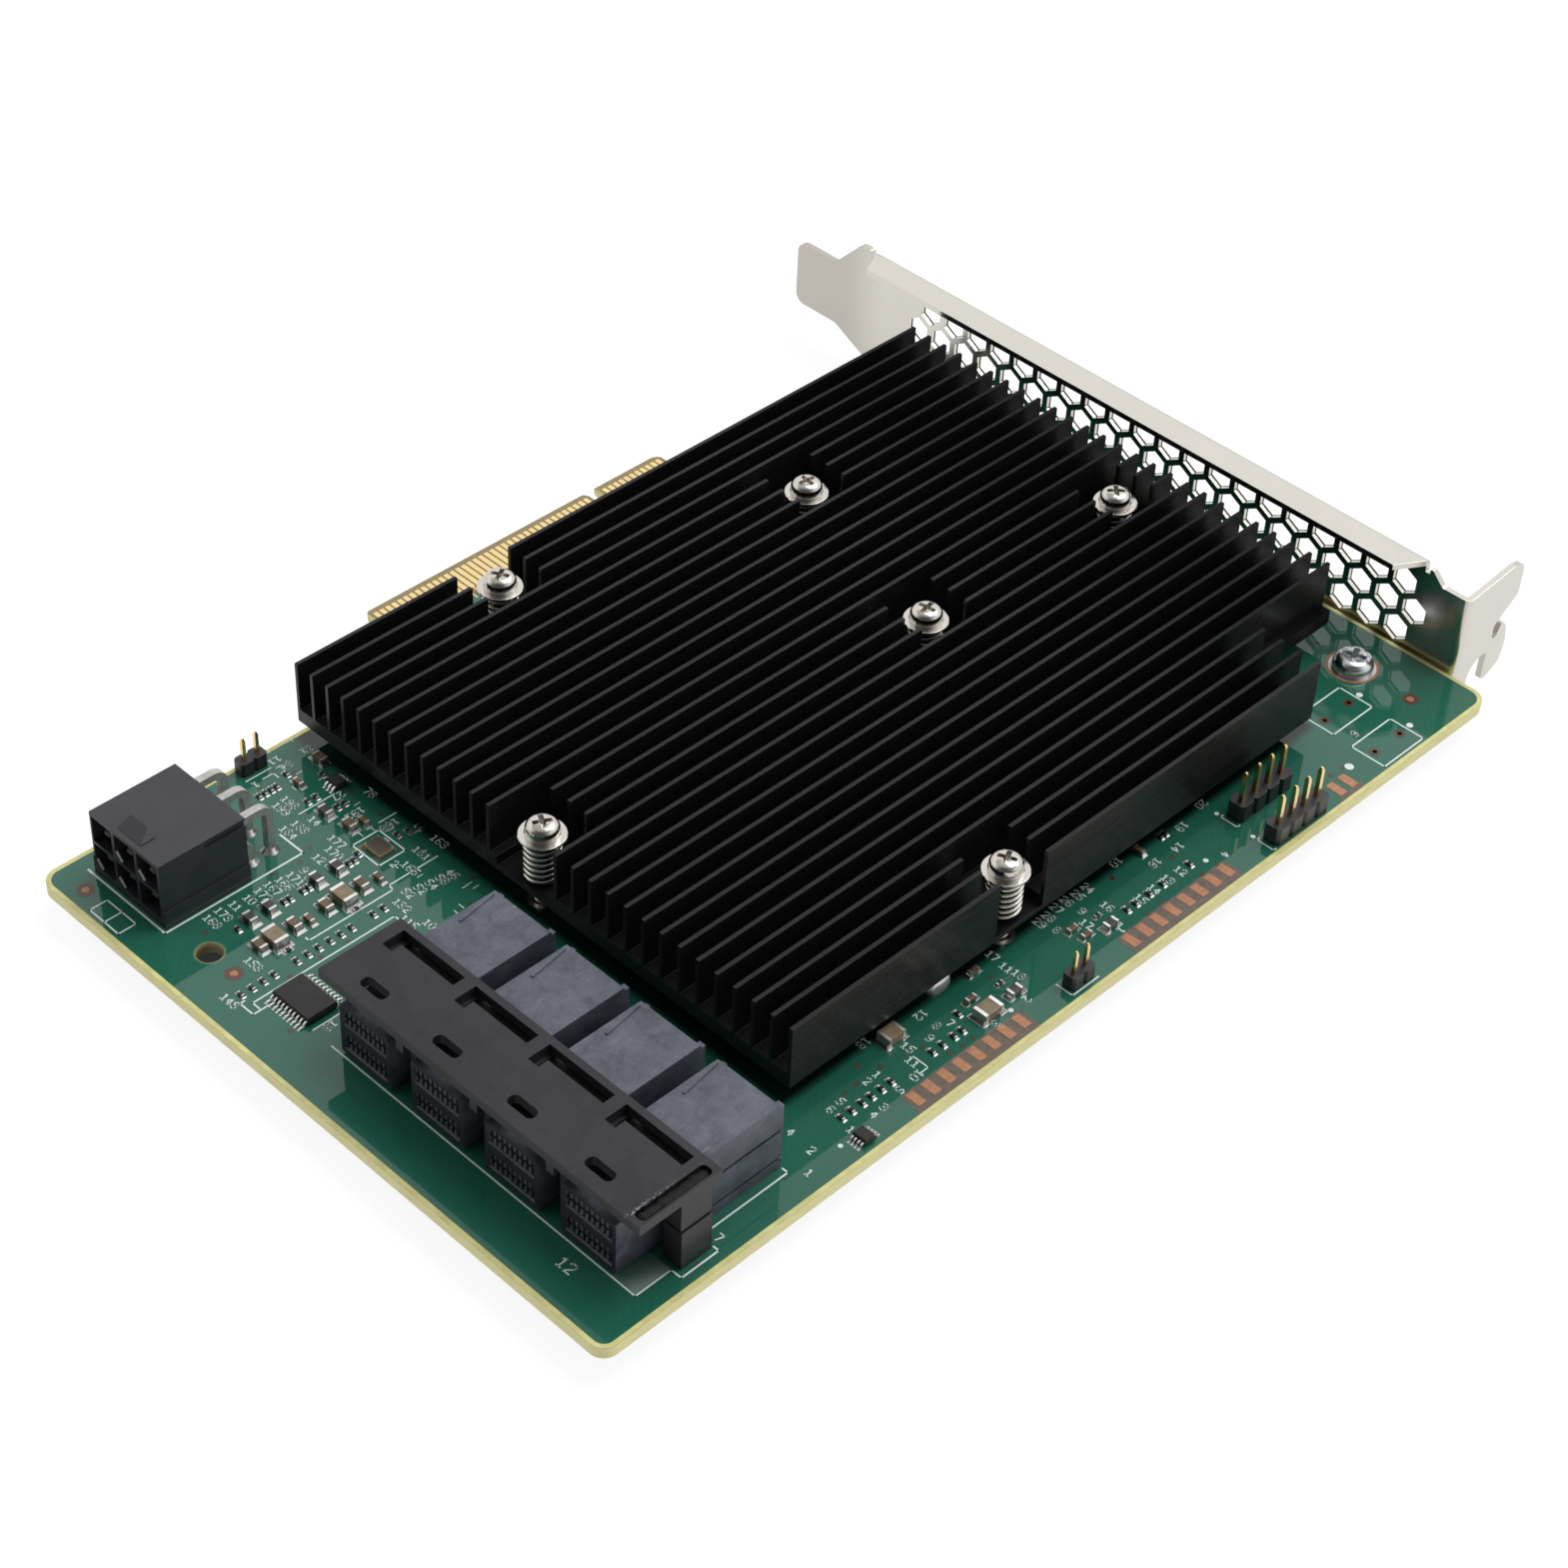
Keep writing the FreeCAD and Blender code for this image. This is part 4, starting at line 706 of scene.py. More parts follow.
VIAS = [(-106.88, 10.59), (-105.07, 8.62), (-109.07, 8.68), (-110.96, 8.61), (-99.37, 7.57), (-95.8, 4.5), (-94.09, 4.52), (-97.81, 4.77), (-140.1, 1.95), (-85.26, 9.8),
        (-61.9, 11.04), (-53.69, 8.54), (-62.08, 11.23), (-61.02, 4.29), (-63.59, 4.19), (-50.78, 3.93), (-53.47, 4.19), (-27.41, 4.71), (-25.1, 4.62),
        (-135.81, 64.8), (-137.36, 63.42), (-128.68, 62.31), (-149.76, 58.15), (-118.81, 79.34), (-118.8, 84.85), (-121.61, 92.34), (-118.0, 63.2), (-121.4, 60.0),
        (-119.6, 57.5), (-128.9, 80.4), (-131.3, 79.2), (-135.0, 79.8), (-139.8, 64.9), (-144.2, 64.9), (-147.0, 77.1), (-119.4, 12.8), (-121.2, 9.9)]
for x, y in VIAS:
    for z0, z1 in ((-0.02, 0.02), (-BOARD_T - 0.02, -BOARD_T + 0.02)):
        rings.ring(x, y, 0.14, 0.34, z0, z1, 16, 1)
rnd = random.Random(7)
for cx, cy, w in ((-96.7, 34.6, 25), (-69.4, 72.7, 25), (-29.4, 66.7, 21)):
    n = int(w / 2)
    for i in range(n):
        for j in range(n):
            x, y = cx - w / 2 + 1.0 + 2.0 * i, cy - w / 2 + 1.0 + 2.0 * j
            if min(math.hypot(x - sx, y - sy) for sx, sy in SCREWS) > 4 and rnd.random() < 0.82:
                rings.ring(x, y, 0.14, 0.34, -BOARD_T - 0.02, -BOARD_T + 0.02, 12, 0)
rings.done("plated_rings")

# solder cones round every through pin, both faces
cones = Build("solder", "copper")


def cone(x, y, r_pad, r_pin, h, up=True):
    s, z = (1, 0.0) if up else (-1, -BOARD_T)
    if not up:
        cones.ring(x, y, 0.3, r_pad + 0.14, z - 0.02, z + 0.02, 24, 1)
    prof = [(0, z), (r_pad, z), (r_pad * 0.97, z + s * 0.06), (r_pin + (r_pad - r_pin) * 0.42, z + s * h * 0.35), (r_pin * 1.08, z + s * h * 0.8), (r_pin * 0.9, z + s * h), (0, z + s * h)]
    cones.lathe(prof, x, y, 24, 0)


for y, xs_ in list(HEADERS.values()):
    for x in xs_:
        cone(x, y, 0.85, 0.42, 0.75, False)
for y, xs_ in list(JUMPERS.values()):
    for x in xs_:
        cone(x, y, 0.70, 0.34, 0.70, False)
for x in POWER_ROWS_X:
    for y in POWER_PIN_Y:
        cone(x, y, 1.20, 0.74, 0.55, True)
        cone(x, y, 1.25, 0.74, 0.85, False)
for k in range(4):
    y0 = PORT_Y0 + PORT_PITCH * k
    for row in range(4):
        for j in range(9):
            x, y = -134.0 + 2.2 * row, y0 + 1.1 + 0.9 * j
            cones.lathe([(0, -BOARD_T), (0.36, -BOARD_T), (0.30, -BOARD_T - 0.16), (0.16, -BOARD_T - 0.34), (0, -BOARD_T - 0.40)], x, y, 12, 0)
cones.done("solder_joints")

# ------------------------------------------------------------- printed legend
ink = Build("ink")
W = 0.165
DIGITS = {
    "0": [[(.12, 0), (.48, 0), (.6, .15), (.6, .85), (.48, 1), (.12, 1), (0, .85), (0, .15), (.12, 0)]],
    "1": [[(.12, .8), (.32, 1), (.32, 0)], [(.12, 0), (.52, 0)]],
    "2": [[(0, .85), (.12, 1), (.48, 1), (.6, .85), (.6, .62), (0, 0), (.6, 0)]],
    "3": [[(0, .88), (.12, 1), (.48, 1), (.6, .88), (.6, .62), (.45, .52), (.2, .52)], [(.45, .52), (.6, .42), (.6, .12), (.48, 0), (.12, 0), (0, .12)]],
    "4": [[(.45, 0), (.45, 1), (0, .3), (.6, .3)]],
    "5": [[(.6, 1), (.05, 1), (0, .55), (.45, .58), (.6, .45), (.6, .12), (.48, 0), (.1, 0), (0, .1)]],
    "6": [[(.55, .95), (.45, 1), (.15, 1), (0, .8), (0, .12), (.12, 0), (.48, 0), (.6, .12), (.6, .42), (.48, .55), (.05, .5)]],
    "7": [[(0, 1), (.6, 1), (.25, 0)]],
    "8": [[(.12, .53), (0, .65), (0, .88), (.12, 1), (.48, 1), (.6, .88), (.6, .65), (.48, .53), (.12, .53), (0, .4), (0, .12), (.12, 0), (.48, 0), (.6, .12), (.6, .4), (.48, .53)]],
    "9": [[(.05, .05), (.15, 0), (.45, 0), (.6, .2), (.6, .88), (.48, 1), (.12, 1), (0, .88), (0, .58), (.12, .45), (.55, .5)]],
}


def label(x, y, text, kind, h=1.05, w=W):
    """Number printed about (x, y): kind A reads towards -y, kind B towards -x."""
    adv = 0.88 * h
    x0 = -(len(text) * adv - 0.28 * h) / 2
    for i, ch in enumerate(text):
        for stroke in DIGITS[ch]:
            pts = []
            for u, v in stroke:
                a, b = x0 + i * adv + u * h, (v - 0.5) * h
                pts.append((x + b, y - a) if kind == "A" else (x - a, y - b))
            ink.path(pts, w)


LABELS = [(-117.8, 94.6, "81", "B"), (-121.5, 94.0, "84", "B"), (-122.0, 95.6, "11", "B"), (-120.4, 85.3, "27", "B"), (-117.2, 83.1, "78", "A"), (-125.5, 88.3, "198", "A"), (-127.0, 88.1, "199", "A"), (-127.4, 84.0, "183", "A"), (-129.0, 84.2, "184", "A"), (-126.5, 93.6, "1", "B"), (-125.4, 83.7, "14", "A"), (-121.0, 81.4, "191", "B"), (-125.8, 79.0, "177", "A"), (-119.3, 77.0, "168", "B"), (-127.3, 77.7, "170", "A"), (-129.3, 78.1, "12", "A"), (-123.3, 71.3, "2", "A"), (-122.4, 69.5, "165", "A"), (-119.7, 70.6, "181", "A"), (-116.8, 70.7, "163", "A"), (-131.9, 77.7, "9", "A"), (-133.5, 77.3, "171", "A"), (-135.0, 77.5, "166", "A"), (-136.5, 77.8, "167", "A"), (-138.0, 77.7, "172", "A"), (-139.7, 78.1, "10", "A"), (-141.6, 78.4, "11", "A"), (-143.5, 78.2, "173", "A"), (-145.2, 78.1, "168", "A"), (-146.1, 69.3, "153", "A"), (-151.8, 66.4, "145", "A"), (-127.3, 65.2, "132", "A"), (-128.5, 62.5, "115", "A"), (-127.0, 60.6, "10", "A"), (-125.4, 66.3, "52", "A"), (-123.9, 65.9, "52", "A"), (-122.4, 65.6, "54", "A"), (-120.9, 65.4, "58", "A"), (-119.4, 65.3, "46", "A"), (-146.0, 55.6, "18", "B"), (-106.2, 8.1, "1", "A"), (-107.8, 8.1, "2", "A"), (-112.2, 8.0, "5", "A"), (-113.9, 7.9, "6", "A"), (-109.3, 4.1, "3", "A"), (-110.9, 4.1, "4", "A"), (-114.4, 4.3, "1", "A"), (-103.8, 12.5, "18", "B"), (-95.8, 11.1, "12", "B"), (-95.7, 8.7, "8", "A"), (-94.2, 7.9, "7", "A"), (-97.7, 7.9, "9", "A"), (-100.6, 8.6, "15", "A"), (-101.9, 6.7, "11", "A"), (-103.1, 4.9, "10", "B"), (-106.1, 4.7, "5", "B"), (-90.5, 4.3, "3", "B"), (-84.9, 4.5, "2", "B"), (-82.6, 7.8, "18", "A"), (-82.8, 9.6, "11", "A"), (-82.5, 12.0, "17", "A"), (-135.9, 3.1, "7", "A"), (-150.3, 11.4, "12", "A", 1.4, 0.2), (-119.8, 5.1, "2", "A"), (-122.3, 3.0, "1", "A"), (-119.5, 8.6, "4", "A"), (-74.3, 11.9, "29", "A"), (-72.7, 11.9, "28", "A"), (-70.9, 12.2, "27", "A"), (-69.1, 12.2, "26", "A"), (-67.3, 12.0, "25", "A"), (-65.5, 12.0, "24", "A"), (-73.7, 9.7, "8", "A"), (-70.3, 8.0, "17", "A"), (-69.0, 9.8, "9", "A"), (-66.2, 8.3, "16", "A"), (-48.6, 11.3, "19", "B"), (-51.9, 9.2, "14", "B"), (-56.1, 9.3, "16", "B"), (-54.9, 6.3, "12", "A"), (-57.2, 6.4, "13", "A"), (-59.7, 6.4, "14", "A"), (-62.2, 6.4, "15", "A"), (-48.6, 4.4, "4", "B"), (-68.1, 4.5, "1", "B"), (-18.7, 7.6, "6", "B"), (-43.6, 12.3, "20", "B"), (-59.5, 12.6, "10", "B")]
for q in LABELS:
    label(*q)

ink.path([(-20.8, 9.3), (-12.7, 9.3), (-12.7, 14.6), (-20.8, 14.6)], 0.21, True)
ink.path([(-21.0, 1.1), (-12.9, 1.1), (-12.9, 6.3), (-21.0, 6.3)], 0.21, True)
ink.path([(-150.4, 80.2), (-150.4, 95.0)], 0.27)
ink.path([(-150.4, 80.2), (-130.0, 80.2), (-130.0, 84.5)], 0.27)
ink.path([(-154.4, 83.8), (-151.9, 83.8), (-151.9, 89.3), (-154.4, 89.3)], 0.21, True)
ink.path([(-154.4, 86.5), (-151.9, 86.5)], 0.20)
ink.path([(-124.9, 72.3), (-120.8, 72.3), (-120.8, 77.2), (-124.9, 77.2)], 0.21, True)
ink.path([(-150.1, 63.2), (-150.1, 64.4), (-129.1, 64.4), (-129.1, 63.2)], 0.20)
ink.path([(-139.0, 68.6), (-139.0, 68.0), (-126.3, 68.0), (-126.2, 68.9), (-118.7, 68.9)], 0.20)
ink.path([(-150.6, 65.3), (-151.2, 65.3), (-151.2, 62.9), (-149.0, 62.9)], 0.20)
ink.path([(-147.8, 56.4), (-143.4, 56.4)], 0.20)
ink.path([(-127.0, 94.9), (-123.2, 94.9)], 0.18)
ink.path([(-126.0, 85.9), (-120.6, 85.9)], 0.18)
ink.path([(-125.2, 93.9), (-123.6, 93.9), (-123.6, 92.9)], 0.18)
ink.path([(-119.9, 78.2), (-117.3, 78.2)], 0.18)
for y in (2.2, 7.9):
    ink.path([(-43.2, y - 1.3), (-43.65, y - 1.3), (-43.65, y + 1.3), (-43.2, y + 1.3)], 0.20)
    ink.disc(-43.55, y + 2.0, 0.32, -0.01, 0.022, 16)
ink.path([(-80.6, 3.7), (-80.6, 1.25), (-76.0, 1.25)], 0.20)
ink.path([(-142.7, 3.4), (-147.9, 3.4), (-147.9, 53.0)], 0.22)
ink.path([(-142.7, 3.4), (-142.7, 1.85), (-137.2, 1.85), (-137.2, 2.6)], 0.22)
ink.path([(-135.6, 4.6), (-124.0, 4.6), (-124.0, 5.4)], 0.22)
ink.path([(-102.6, 4.9), (-101.2, 4.9), (-101.2, 7.2)], 0.17)
for x, y, r in ((-24.3, 4.15, 0.6), (-12.0, 11.9, 0.45), (-12.1, 3.8, 0.45), (-51.2, 5.4, 0.35), (-87.6, 4.55, 0.32), (-117.0, 3.4, 0.3)):
    ink.disc(x, y, r, -0.01, 0.022, 24)
rnd = random.Random(11)
for i in range(26):
    x, y = rnd.uniform(-124, -118), rnd.uniform(58, 98)
    if rnd.random() < 0.5:
        ink.line((x, y), (x + 0.8, y), 0.12)
    else:
        ink.line((x, y), (x, y - 0.8), 0.12)
ink.done("printed_legend")


# ------------------------------------------------------------------ chip parts
def chips(name, node, body, parts, cap_share):
    """Ceramic bodies with rounded tinned ends, solder fillets and lands."""
    B = Build(body, "tin")
    S = Build("solder")
    for x, y, length, width, height, along in parts:
        half, cap = length / 2, length * cap_share

        def bx(a0, a1, w, z0, z1, m):
            if along == "x":
                B.box(x + a0, x + a1, y - w / 2, y + w / 2, z0, z1, m)
            else:
                B.box(x - w / 2, x + w / 2, y + a0, y + a1, z0, z1, m)

        e = min(0.03, height * 0.06)
        bx(-half + cap * 0.6, half - cap * 0.6, width - 2 * e, 0.03, height - e, 0)
        bx(-half, -half + cap, width, 0.02, height, 1)
        bx(half - cap, half, width, 0.02, height, 1)
        g = min(0.42, height * 0.5)
        for s in (-1, 1):
            prof = [(half - cap * 0.4, 0.0), (half + g, 0.0), (half + g * 0.92, 0.04), (half + g * 0.42, height * 0.16), (half + g * 0.12, height * 0.42), (half - 0.02, height * 0.62),
                    (half - cap * 0.4, height * 0.62)]
            w0, w1 = width * 0.56, width * 0.44
            v = []
            for sd in (-1, 1):
                for i, (u, z) in enumerate(prof):
                    ww = (w0 if z < 0.05 else w1) * sd
                    v.append((x + s * u, y + ww, z) if along == "x" else (x + ww, y + s * u, z))
            n = len(prof)
            S.add(v, [tuple(range(n)), tuple(reversed(range(n, 2 * n)))] + [(i, n + i, n + (i + 1) % n, (i + 1) % n) for i in range(n)], 0, True)
            u0, u1 = half - cap, half + g + 0.08
            w = width * 0.62
            a, b = (s * u0, s * u1) if s > 0 else (s * u1, s * u0)
            if along == "x":
                S.box(x + a, x + b, y - w, y + w, -0.01, 0.018, 0)
            else:
                S.box(x - w, x + w, y + a, y + b, -0.01, 0.018, 0)
    small = min(p[4] for p in parts)
    B.done(name, bevel=min(0.09, small * 0.14), seg=2, replaces=(node,))
    S.done(name + "_solder", sharp=50.0)


LARGE = [(-141.9, 70.6, 3.1, 2.1, 1.3, "y"), (-131.6, 70.6, 3.1, 2.1, 1.3, "y"), (-101.0, 10.9, 2.8, 2.1, 1.3, "x"),
         (-90.0, 6.0, 3.2, 2.2, 1.3, "x"), (-90.9, 13.4, 4.2, 2.4, 1.5, "x")]
FERRITE = [(x, 75.2, 2.0, 1.25, 0.9, "y") for x in (-141.9, -139.1, -132.0, -128.9)]
FERRITE += [(-123.6, 83.8, 2.0, 1.25, 0.9, "y"), (-85.3, 6.1, 2.0, 1.25, 0.9, "x"), (-68.6, 5.8, 2.0, 1.25, 0.9, "x")]
CAPS = [(x, 70.9, 2.0, 1.25, 0.9, "y") for x in (-143.9, -138.8, -134.1, -128.7)]
CAPS += [(x, 70.5, 1.6, 0.8, 0.7, "y") for x in (-136.9, -126.4)]
CAPS += [(-122.6, 90.2, 1.6, 0.8, 0.7, "y"), (-117.9, 91.9, 2.0, 1.25, 0.9, "y"), (-123.0, 80.0, 2.0, 1.25, 0.9, "y"),
         (-121.3, 79.4, 1.6, 0.8, 0.7, "y"), (-89.9, 8.75, 1.6, 0.8, 0.7, "x"), (-72.5, 8.4, 1.6, 0.8, 0.7, "x"),
         (-72.0, 6.6, 1.6, 0.8, 0.7, "x"), (-56.1, 11.9, 1.6, 0.8, 0.7, "y"), (-86.3, 11.6, 1.6, 0.8, 0.7, "x")]
SMALL_Y = [(x, 75.0) for x in (-143.9, -137.1, -136.2, -134.3, -133.4, -127.3, -126.5)]
SMALL_Y += [(x, 66.3) for x in (-150.3, -148.7, -147.1, -145.5, -142.2, -140.6, -139.0, -137.3, -135.7, -134.1, -130.8, -129.2)]
SMALL_Y += [(x, 91.6) for x in (-127.6, -126.7, -125.8, -124.9)]
SMALL_Y += [(-122.6, 92.6), (-119.4, 89.6), (-123.9, 86.9), (-122.6, 86.9), (-121.9, 83.7), (-120.8, 83.7), (-125.4, 75.6),
            (-119.8, 75.0), (-118.4, 74.6), (-117.0, 74.2)]
SMALL_Y += [(x, 6.2) for x in (-114.0, -112.4, -110.7, -109.2, -107.6, -106.0, -99.2, -97.5, -95.6, -94.2)]
SMALL_Y += [(x, 6.3) for x in (-65.0, -63.4, -60.9, -58.4, -53.3)]
SMALL_Y += [(-52.1, 11.9), (-51.2, 11.9), (-92.6, 8.3)]
SMALL_X = [(-141.9, 68.3), (-131.7, 68.3), (-68.4, 8.0), (-85.4, 8.3)]
chips("chip_large", "large_capacitors", "tan", LARGE[:4], 0.2)
blob = Build("solder")
x, y, length, width, height, _ = LARGE[4]
loops = []
for i in range(17):
    t = -1 + i / 8
    w = math.sqrt(max(0.03, 1 - t ** 4))
    h = (0.45 + 0.55 * math.sqrt(max(0.0, 1 - t * t))) * height
    loops.append([(x + t * length * 0.5, y + width * 0.5 * w * math.cos(q * math.pi / 9), 0.01 + (h - 0.01) * math.sin(q * math.pi / 9) ** 0.7) for q in range(10)])
blob.loft(loops)
blob.done("solder_bead", sharp=60.0)
chips("chip_ferrite", "ferrite_beads", "ferrite", FERRITE, 0.26)
chips("chip_ceramic", "chip_capacitors", "brown", CAPS, 0.24)
chips("chip_small", "chip_resistors", "black",
      [(x, y, 1.0, 0.5, 0.35, "y") for x, y in SMALL_Y] + [(x, y, 1.0, 0.5, 0.35, "x") for x, y in SMALL_X], 0.24)


# ---------------------------------------------------------------- leaded chips
def leaded(name, node, x, y, bx, by, bz, n, pitch, lw, reach):
    """Moulded body with drafted sides, pin-one dimple, bent leads and lands."""
    hx, hy = bx / 2, by / 2
    B = Build("ic")
    zm, d = bz * 0.52, 0.12
    lo = [(x - hx + d, y - hy + d, 0.12), (x + hx - d, y - hy + d, 0.12), (x + hx - d, y + hy - d, 0.12), (x - hx + d, y + hy - d, 0.12)]
    md = [(x - hx, y - hy, zm), (x + hx, y - hy, zm), (x + hx, y + hy, zm), (x - hx, y + hy, zm)]
    hi = [(p[0], p[1], bz) for p in lo]
    B.add(lo + md + hi, [(3, 2, 1, 0), (8, 9, 10, 11)] + [(i, (i + 1) % 4, 4 + (i + 1) % 4, 4 + i) for i in range(4)] +
          [(4 + i, 4 + (i + 1) % 4, 8 + (i + 1) % 4, 8 + i) for i in range(4)])
    if by > 4:
        B.ring(x + hx - 0.9, y - hy + 0.9, 0.28, 0.36, bz - 0.03, bz + 0.012, 20)
    B.done(name, bevel=0.05, seg=2, replaces=(node,))
    L = Build("tin", "solder")
    th = 0.15
    for s in (-1, 1):
        for k in range(n):
            yy = y + (k - (n - 1) / 2) * pitch
            mid = [(hx - 0.25, zm - th / 2), (hx + 0.12, zm - th / 2), (hx + 0.26, zm - th), (hx + 0.36, th + 0.10), (hx + 0.48, th * 0.5), (hx + reach, th * 0.5)]
            top = [(u, z + th) for u, z in mid[:2]] + [(mid[2][0] + th * 0.7, mid[2][1] + th * 0.7), (mid[3][0] + th, mid[3][1] + 0.03), (mid[4][0] + th * 0.4, mid[4][1] + th * 0.8), (mid[5][0], mid[5][1] + th * 0.8)]
            prof = mid + list(reversed(top))
            m = len(prof)
            v = [(x + s * u, yy + w, z) for w in (-lw / 2, lw / 2) for u, z in prof]
            L.add(v, [tuple(range(m)), tuple(reversed(range(m, 2 * m)))] + [(i, m + i, m + (i + 1) % m, (i + 1) % m) for i in range(m)], 0, True)
            a, b = sorted((x + s * (hx + 0.2), x + s * (hx + reach + 0.3)))
            L.box(a, b, yy - lw * 0.62, yy + lw * 0.62, -0.01, 0.05, 1)
            a, b = sorted((x + s * (hx + reach - 0.04), x + s * (hx + reach + 0.2)))
            L.hexa([(a, yy - lw / 2, 0.04), (b, yy - lw / 2, 0.04), (b, yy + lw / 2, 0.04), (a, yy + lw / 2, 0.04)],
                   [(a, yy - lw / 2, 0.12 if s > 0 else 0.05), (b, yy - lw / 2, 0.05 if s > 0 else 0.12), (b, yy + lw / 2, 0.05 if s > 0 else 0.12), (a, yy + lw / 2, 0.12 if s > 0 else 0.05)], 1)
    L.done(name + "_leads", sharp=50.0)


leaded("interface_chip", "interface_ic", -145.7, 60.4, 4.4, 6.5, 1.1, 10, 0.65, 0.24, 1.0)
leaded("small_chip_1", "small_ic_1", -114.4, 2.4, 1.7, 2.1, 1.0, 4, 0.5, 0.24, 0.6)
leaded("small_chip_2", "small_ic_2", -119.2, 87.0, 1.7, 2.2, 1.0, 3, 0.65, 0.3, 0.6)

can = Build("tan", "rimgold", "lid")
can.box(-124.2, -121.7, 73.0, 76.2, 0.02, 0.46, 0)
can.box(-124.12, -121.78, 73.08, 76.12, 0.44, 0.56, 1)
can.prism(rounded([(-123.95, 73.25, 0.3), (-121.95, 73.25, 0.3), (-121.95, 75.95, 0.3), (-123.95, 75.95, 0.3)], 4), 0.54, 0.74, 2)
for sx in (-124.35, -121.95):
    for sy in (72.9, 75.4):
        can.box(sx, sx + 0.4, sy, sy + 0.9, -0.01, 0.16, 1)
can.done("crystal_can", bevel=0.04, seg=2, replaces=("crystal",))

# -------------------------------------------------------------- springs, coils
coil = Build("spring")
for i, (x, y) in enumerate(SCREWS):
    z0, z1 = 3.7 + 0.28, 9.95 - 0.28
    turns, rm = 6.5, 2.14
    steps = int(turns * 30)
    pts = []
    for k in range(steps + 1):
        t = k / steps
        a = 2 * math.pi * turns * t + math.radians(60 * i)
        pts.append((x + rm * math.cos(a), y + rm * math.sin(a), z0 + (z1 - z0) * t))
    coil.tube(pts, 0.26, 12)
coil.done("screw_springs", sharp=80.0, replaces=("heatsink_springs",))

# --------------------------------------------------------------- storage ports
comb = Build("comb")
for k in range(4):
    y0 = PORT_Y0 + PORT_PITCH * k
    y1 = y0 + PORT_W
    yc = y0 + 5.25
    for za, zb in ((5.1, 7.2), (1.3, 3.4)):
        for j in range(10):
            yy = yc + (j - 4.5) * 0.8
            comb.box(-147.42, -146.75, yy - 0.19, yy + 0.19, za - 0.02, za + 0.82)
            comb.box(-147.42, -146.75, yy - 0.19, yy + 0.19, zb - 0.82, zb + 0.02)
        comb.box(-146.95, -146.70, yc - 3.66, yc + 3.66, za + 0.86, zb - 0.86)
comb.done("port_combs", bevel=0.05, seg=1)

# lead-in edges of the keyed power cells, near-white as painted glints
glint_strips = Build("key_glint")
for zc, ys_ in ((5.2, (83.3, 87.6)), (1.1, (87.6, 91.9))):
    for yc in ys_:
        ya, yb = yc + 0.88, yc + 1.92
        lo = [(-149.84, ya, zc), (-149.84, ya + 0.10, zc - 0.02), (-149.84, yb, zc + 0.98), (-149.84, yb, zc + 1.12)]
        glint_strips.add(lo + [(-149.55, p[1], p[2]) for p in lo], [(0, 1, 2, 3), (7, 6, 5, 4), (0, 4, 5, 1), (1, 5, 6, 2), (2, 6, 7, 3), (3, 7, 4, 0)])
glint_strips.done("power_key_glints", bevel=0.02, seg=1)

# rough strip in the channel at the near end of the cage plate
rail = Build("melt")
rnd = random.Random(5)
rings_ = []
for i in range(57):
    t = i / 56
    x = -147.15 + 10.1 * t
    lump = 0.07 * math.sin(17.0 * t + 0.6) + 0.05 * math.sin(41.0 * t) + rnd.uniform(-0.05, 0.05)
    end = min(1.0, math.sqrt(max(0.0, min(t, 1 - t) * 14 + 0.02)))
    h, d = (0.40 + 0.5 * lump) * end, (0.72 + 0.12 * t + lump) * end
    yc = 3.90 + 0.03 * math.sin(9.0 * t)
    rings_.append([(x + 0.04 * math.sin(5 * q), yc - d * math.cos(2 * math.pi * q / 14), 10.72 + h * math.sin(2 * math.pi * q / 14)) for q in range(14)])
rail.loft(rings_)
rail.done("cage_end_strip", sharp=80.0)

# --------------------------------------------------------------------- staging
floor_me = bpy.data.meshes.new("floor")
floor_me.from_pydata([(-20, -20, 0), (20, -20, 0), (20, 20, 0), (-20, 20, 0)], [], [(0, 1, 2, 3)])
floor = bpy.data.objects.new("floor", floor_me)
bpy.context.scene.collection.objects.link(floor)
fm = Mat("pale_floor")
fm.set(color=fm.ramp(fm.noise(0.01, 2.0), [(0.3, (0.14, 0.14, 0.14)), (0.7, (0.16, 0.16, 0.16))]), rough=0.9, spec=0.0)
fx, fy, fz = fm.xyz()
# painted shadow: the floor's glow drops under the board
shade = fm.math("MULTIPLY", fm.math("MULTIPLY", fm.span(fx, -152.0, -149.2, 0.0, 1.0, True), fm.span(fx, -9.0, -2.0, 1.0, 0.0, True)),
                fm.math("MULTIPLY", fm.span(fy, 4.0, 8.0, 0.0, 1.0, True), fm.span(fy, 88.0, 95.0, 1.0, 0.0, True)))
fm.put(fm.b.inputs["Emission Color"], fm.mix(shade, (1.0, 1.0, 1.0), (0.022, 0.022, 0.020)))
fm.b.inputs["Emission Strength"].default_value = 0.90
floor_me.materials.append(fm.m)

world = bpy.data.worlds.new("studio")
bpy.context.scene.world = world
world.use_nodes = True
wt = world.node_tree
bg = wt.nodes["Background"]
tc = wt.nodes.new("ShaderNodeTexCoord")
sep = wt.nodes.new("ShaderNodeSeparateXYZ")
wt.links.new(tc.outputs["Generated"], sep.inputs[0])
rise = wt.nodes.new("ShaderNodeMapRange")
rise.inputs["From Min"].default_value = -0.1
rise.inputs["From Max"].default_value = 0.55
rise.inputs["To Min"].default_value = 0.80
rise.inputs["To Max"].default_value = 1.15
wt.links.new(sep.outputs["Z"], rise.inputs["Value"])


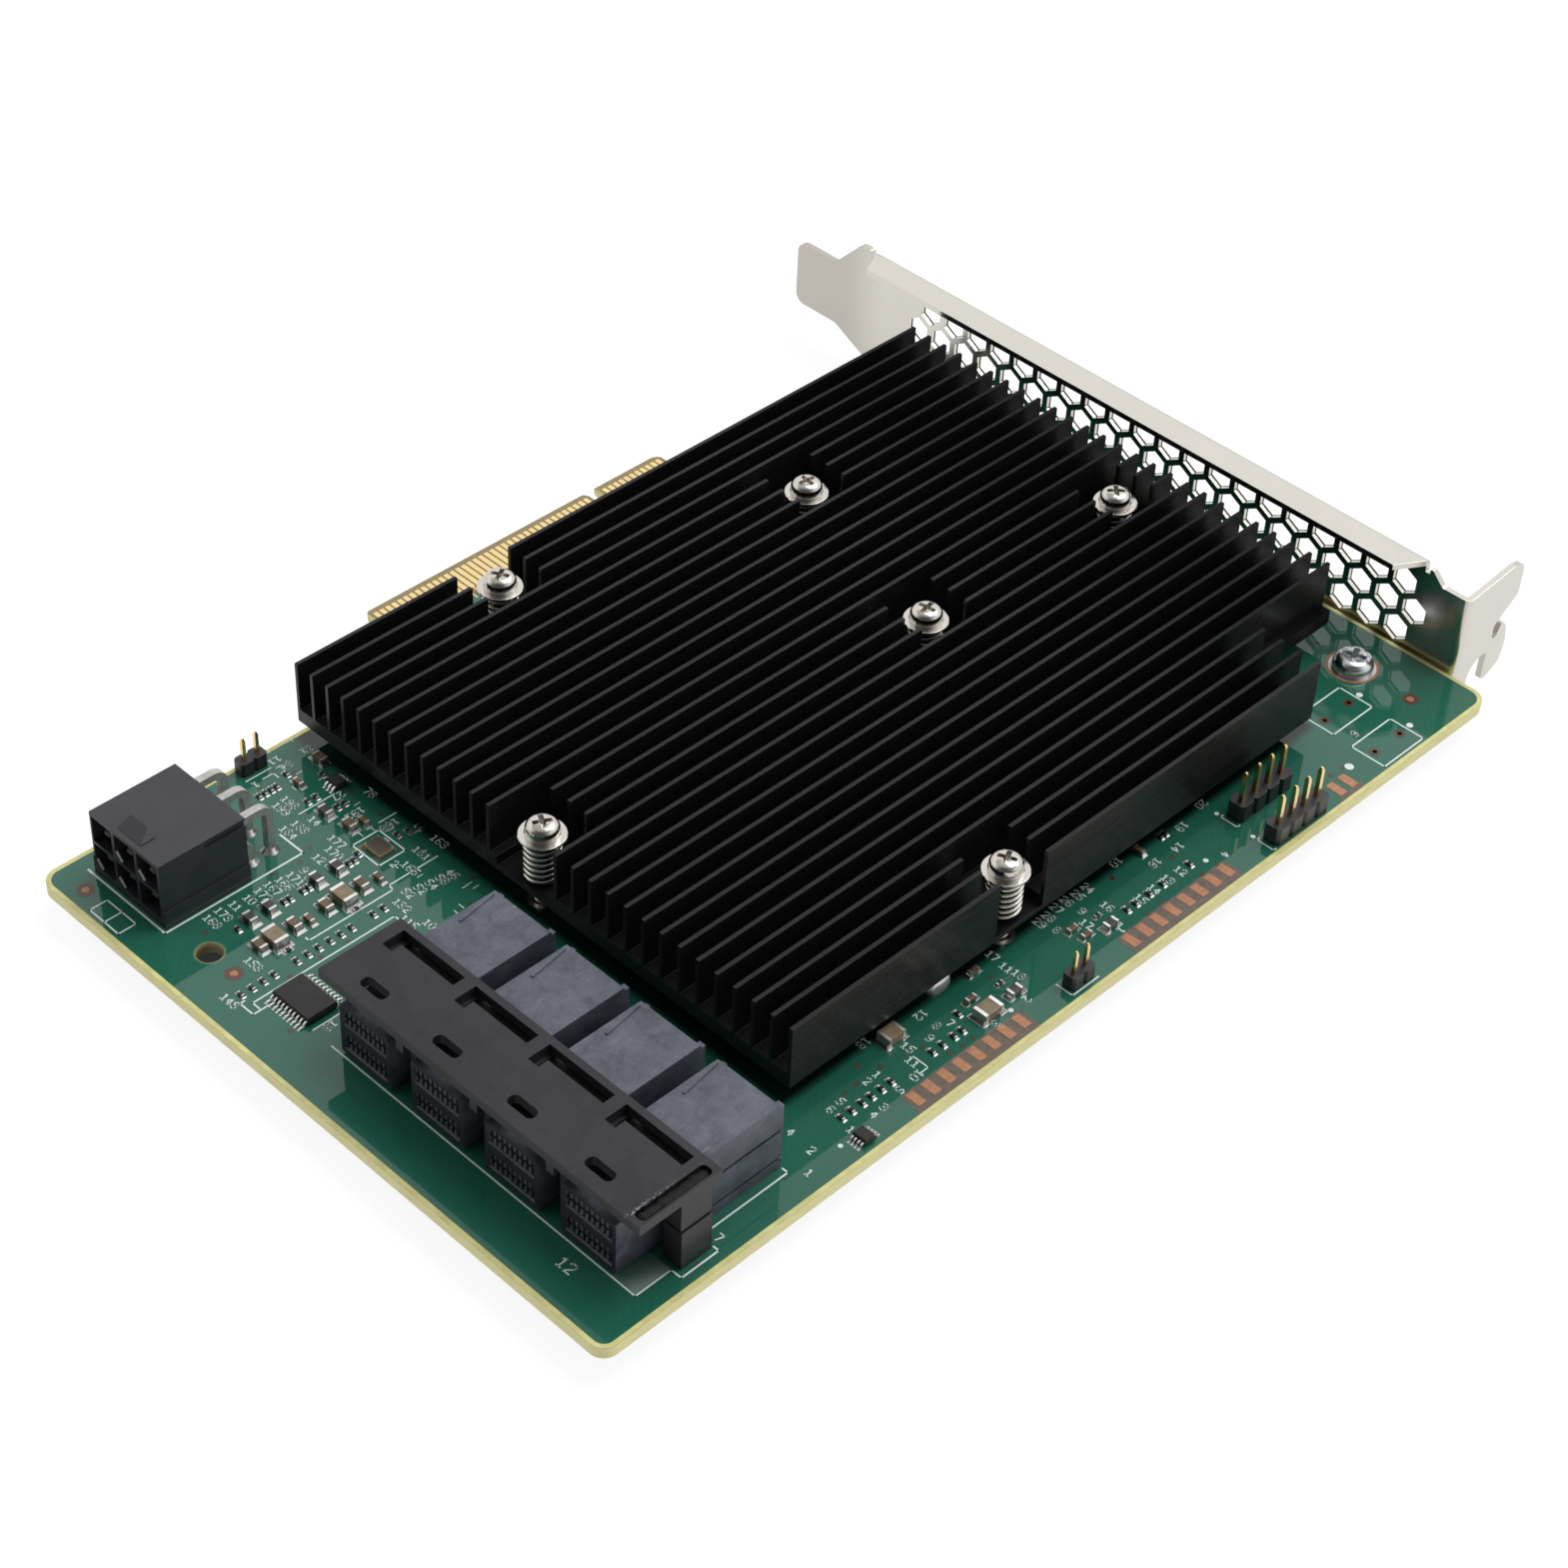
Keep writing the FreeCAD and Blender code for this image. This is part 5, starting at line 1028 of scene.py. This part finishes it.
def lobe(direction, a, b, lo):
    """Soft dark area of the studio about one direction."""
    dot = wt.nodes.new("ShaderNodeVectorMath")
    dot.operation = "DOT_PRODUCT"
    dot.inputs[1].default_value = Vector(direction).normalized()
    wt.links.new(tc.outputs["Generated"], dot.inputs[0])
    mr = wt.nodes.new("ShaderNodeMapRange")
    mr.interpolation_type = "SMOOTHSTEP"
    mr.inputs["From Min"].default_value = a
    mr.inputs["From Max"].default_value = b
    mr.inputs["To Min"].default_value = 1.0
    mr.inputs["To Max"].default_value = lo
    wt.links.new(dot.outputs["Value"], mr.inputs["Value"])
    return mr.outputs["Result"]


crown = wt.nodes.new("ShaderNodeMapRange")
crown.interpolation_type = "SMOOTHSTEP"
for k, v in (("From Min", 0.72), ("From Max", 0.78), ("To Min", 1.0), ("To Max", 0.50)):
    crown.inputs[k].default_value = v
wt.links.new(sep.outputs["Z"], crown.inputs["Value"])
level = rise.outputs["Result"]
for sock in (crown.outputs["Result"], lobe((-0.85, -0.45, 0.28), 0.25, 0.85, 0.12), lobe((-0.55, -0.75, 0.35), 0.35, 0.90, 0.75)):
    mul = wt.nodes.new("ShaderNodeMath")
    mul.operation = "MULTIPLY"
    wt.links.new(level, mul.inputs[0])
    wt.links.new(sock, mul.inputs[1])
    level = mul.outputs[0]
wt.links.new(level, bg.inputs["Strength"])
bg.inputs["Color"].default_value = (1.0, 1.0, 1.0, 1.0)


def area(name, at, to, size, power):
    data = bpy.data.lights.new(name, "AREA")
    data.shape = "SQUARE"
    data.size = size
    data.energy = power
    ob = bpy.data.objects.new(name, data)
    bpy.context.scene.collection.objects.link(ob)
    ob.location = at
    ob.rotation_euler = (Vector(to) - Vector(at)).to_track_quat("-Z", "Y").to_euler()
    return ob


area("softbox_side", (0.50, -0.08, 0.99), (0, 0, 0), 0.72, 7.0)

cam_data = bpy.data.cameras.new("camera")
cam = bpy.data.objects.new("camera", cam_data)
bpy.context.scene.collection.objects.link(cam)
right = Vector((0.70356723, -0.70953322, 0.0394431))
down = Vector((-0.44794363, -0.48589762, -0.75049984))
ahead = Vector((0.55166988, 0.51035881, -0.65969253))
rot = Matrix((right, -down, -ahead)).transposed()
cam.matrix_world = Matrix.Translation(P(-302.59332, -157.0342, 267.55777)) @ rot.to_4x4()
cam_data.sensor_width = 36.0
cam_data.lens = 3289.93558 / 1569.0 * 36.0
cam_data.clip_start = 0.01
bpy.context.scene.camera = cam
bpy.context.scene.view_settings.view_transform = "Standard"
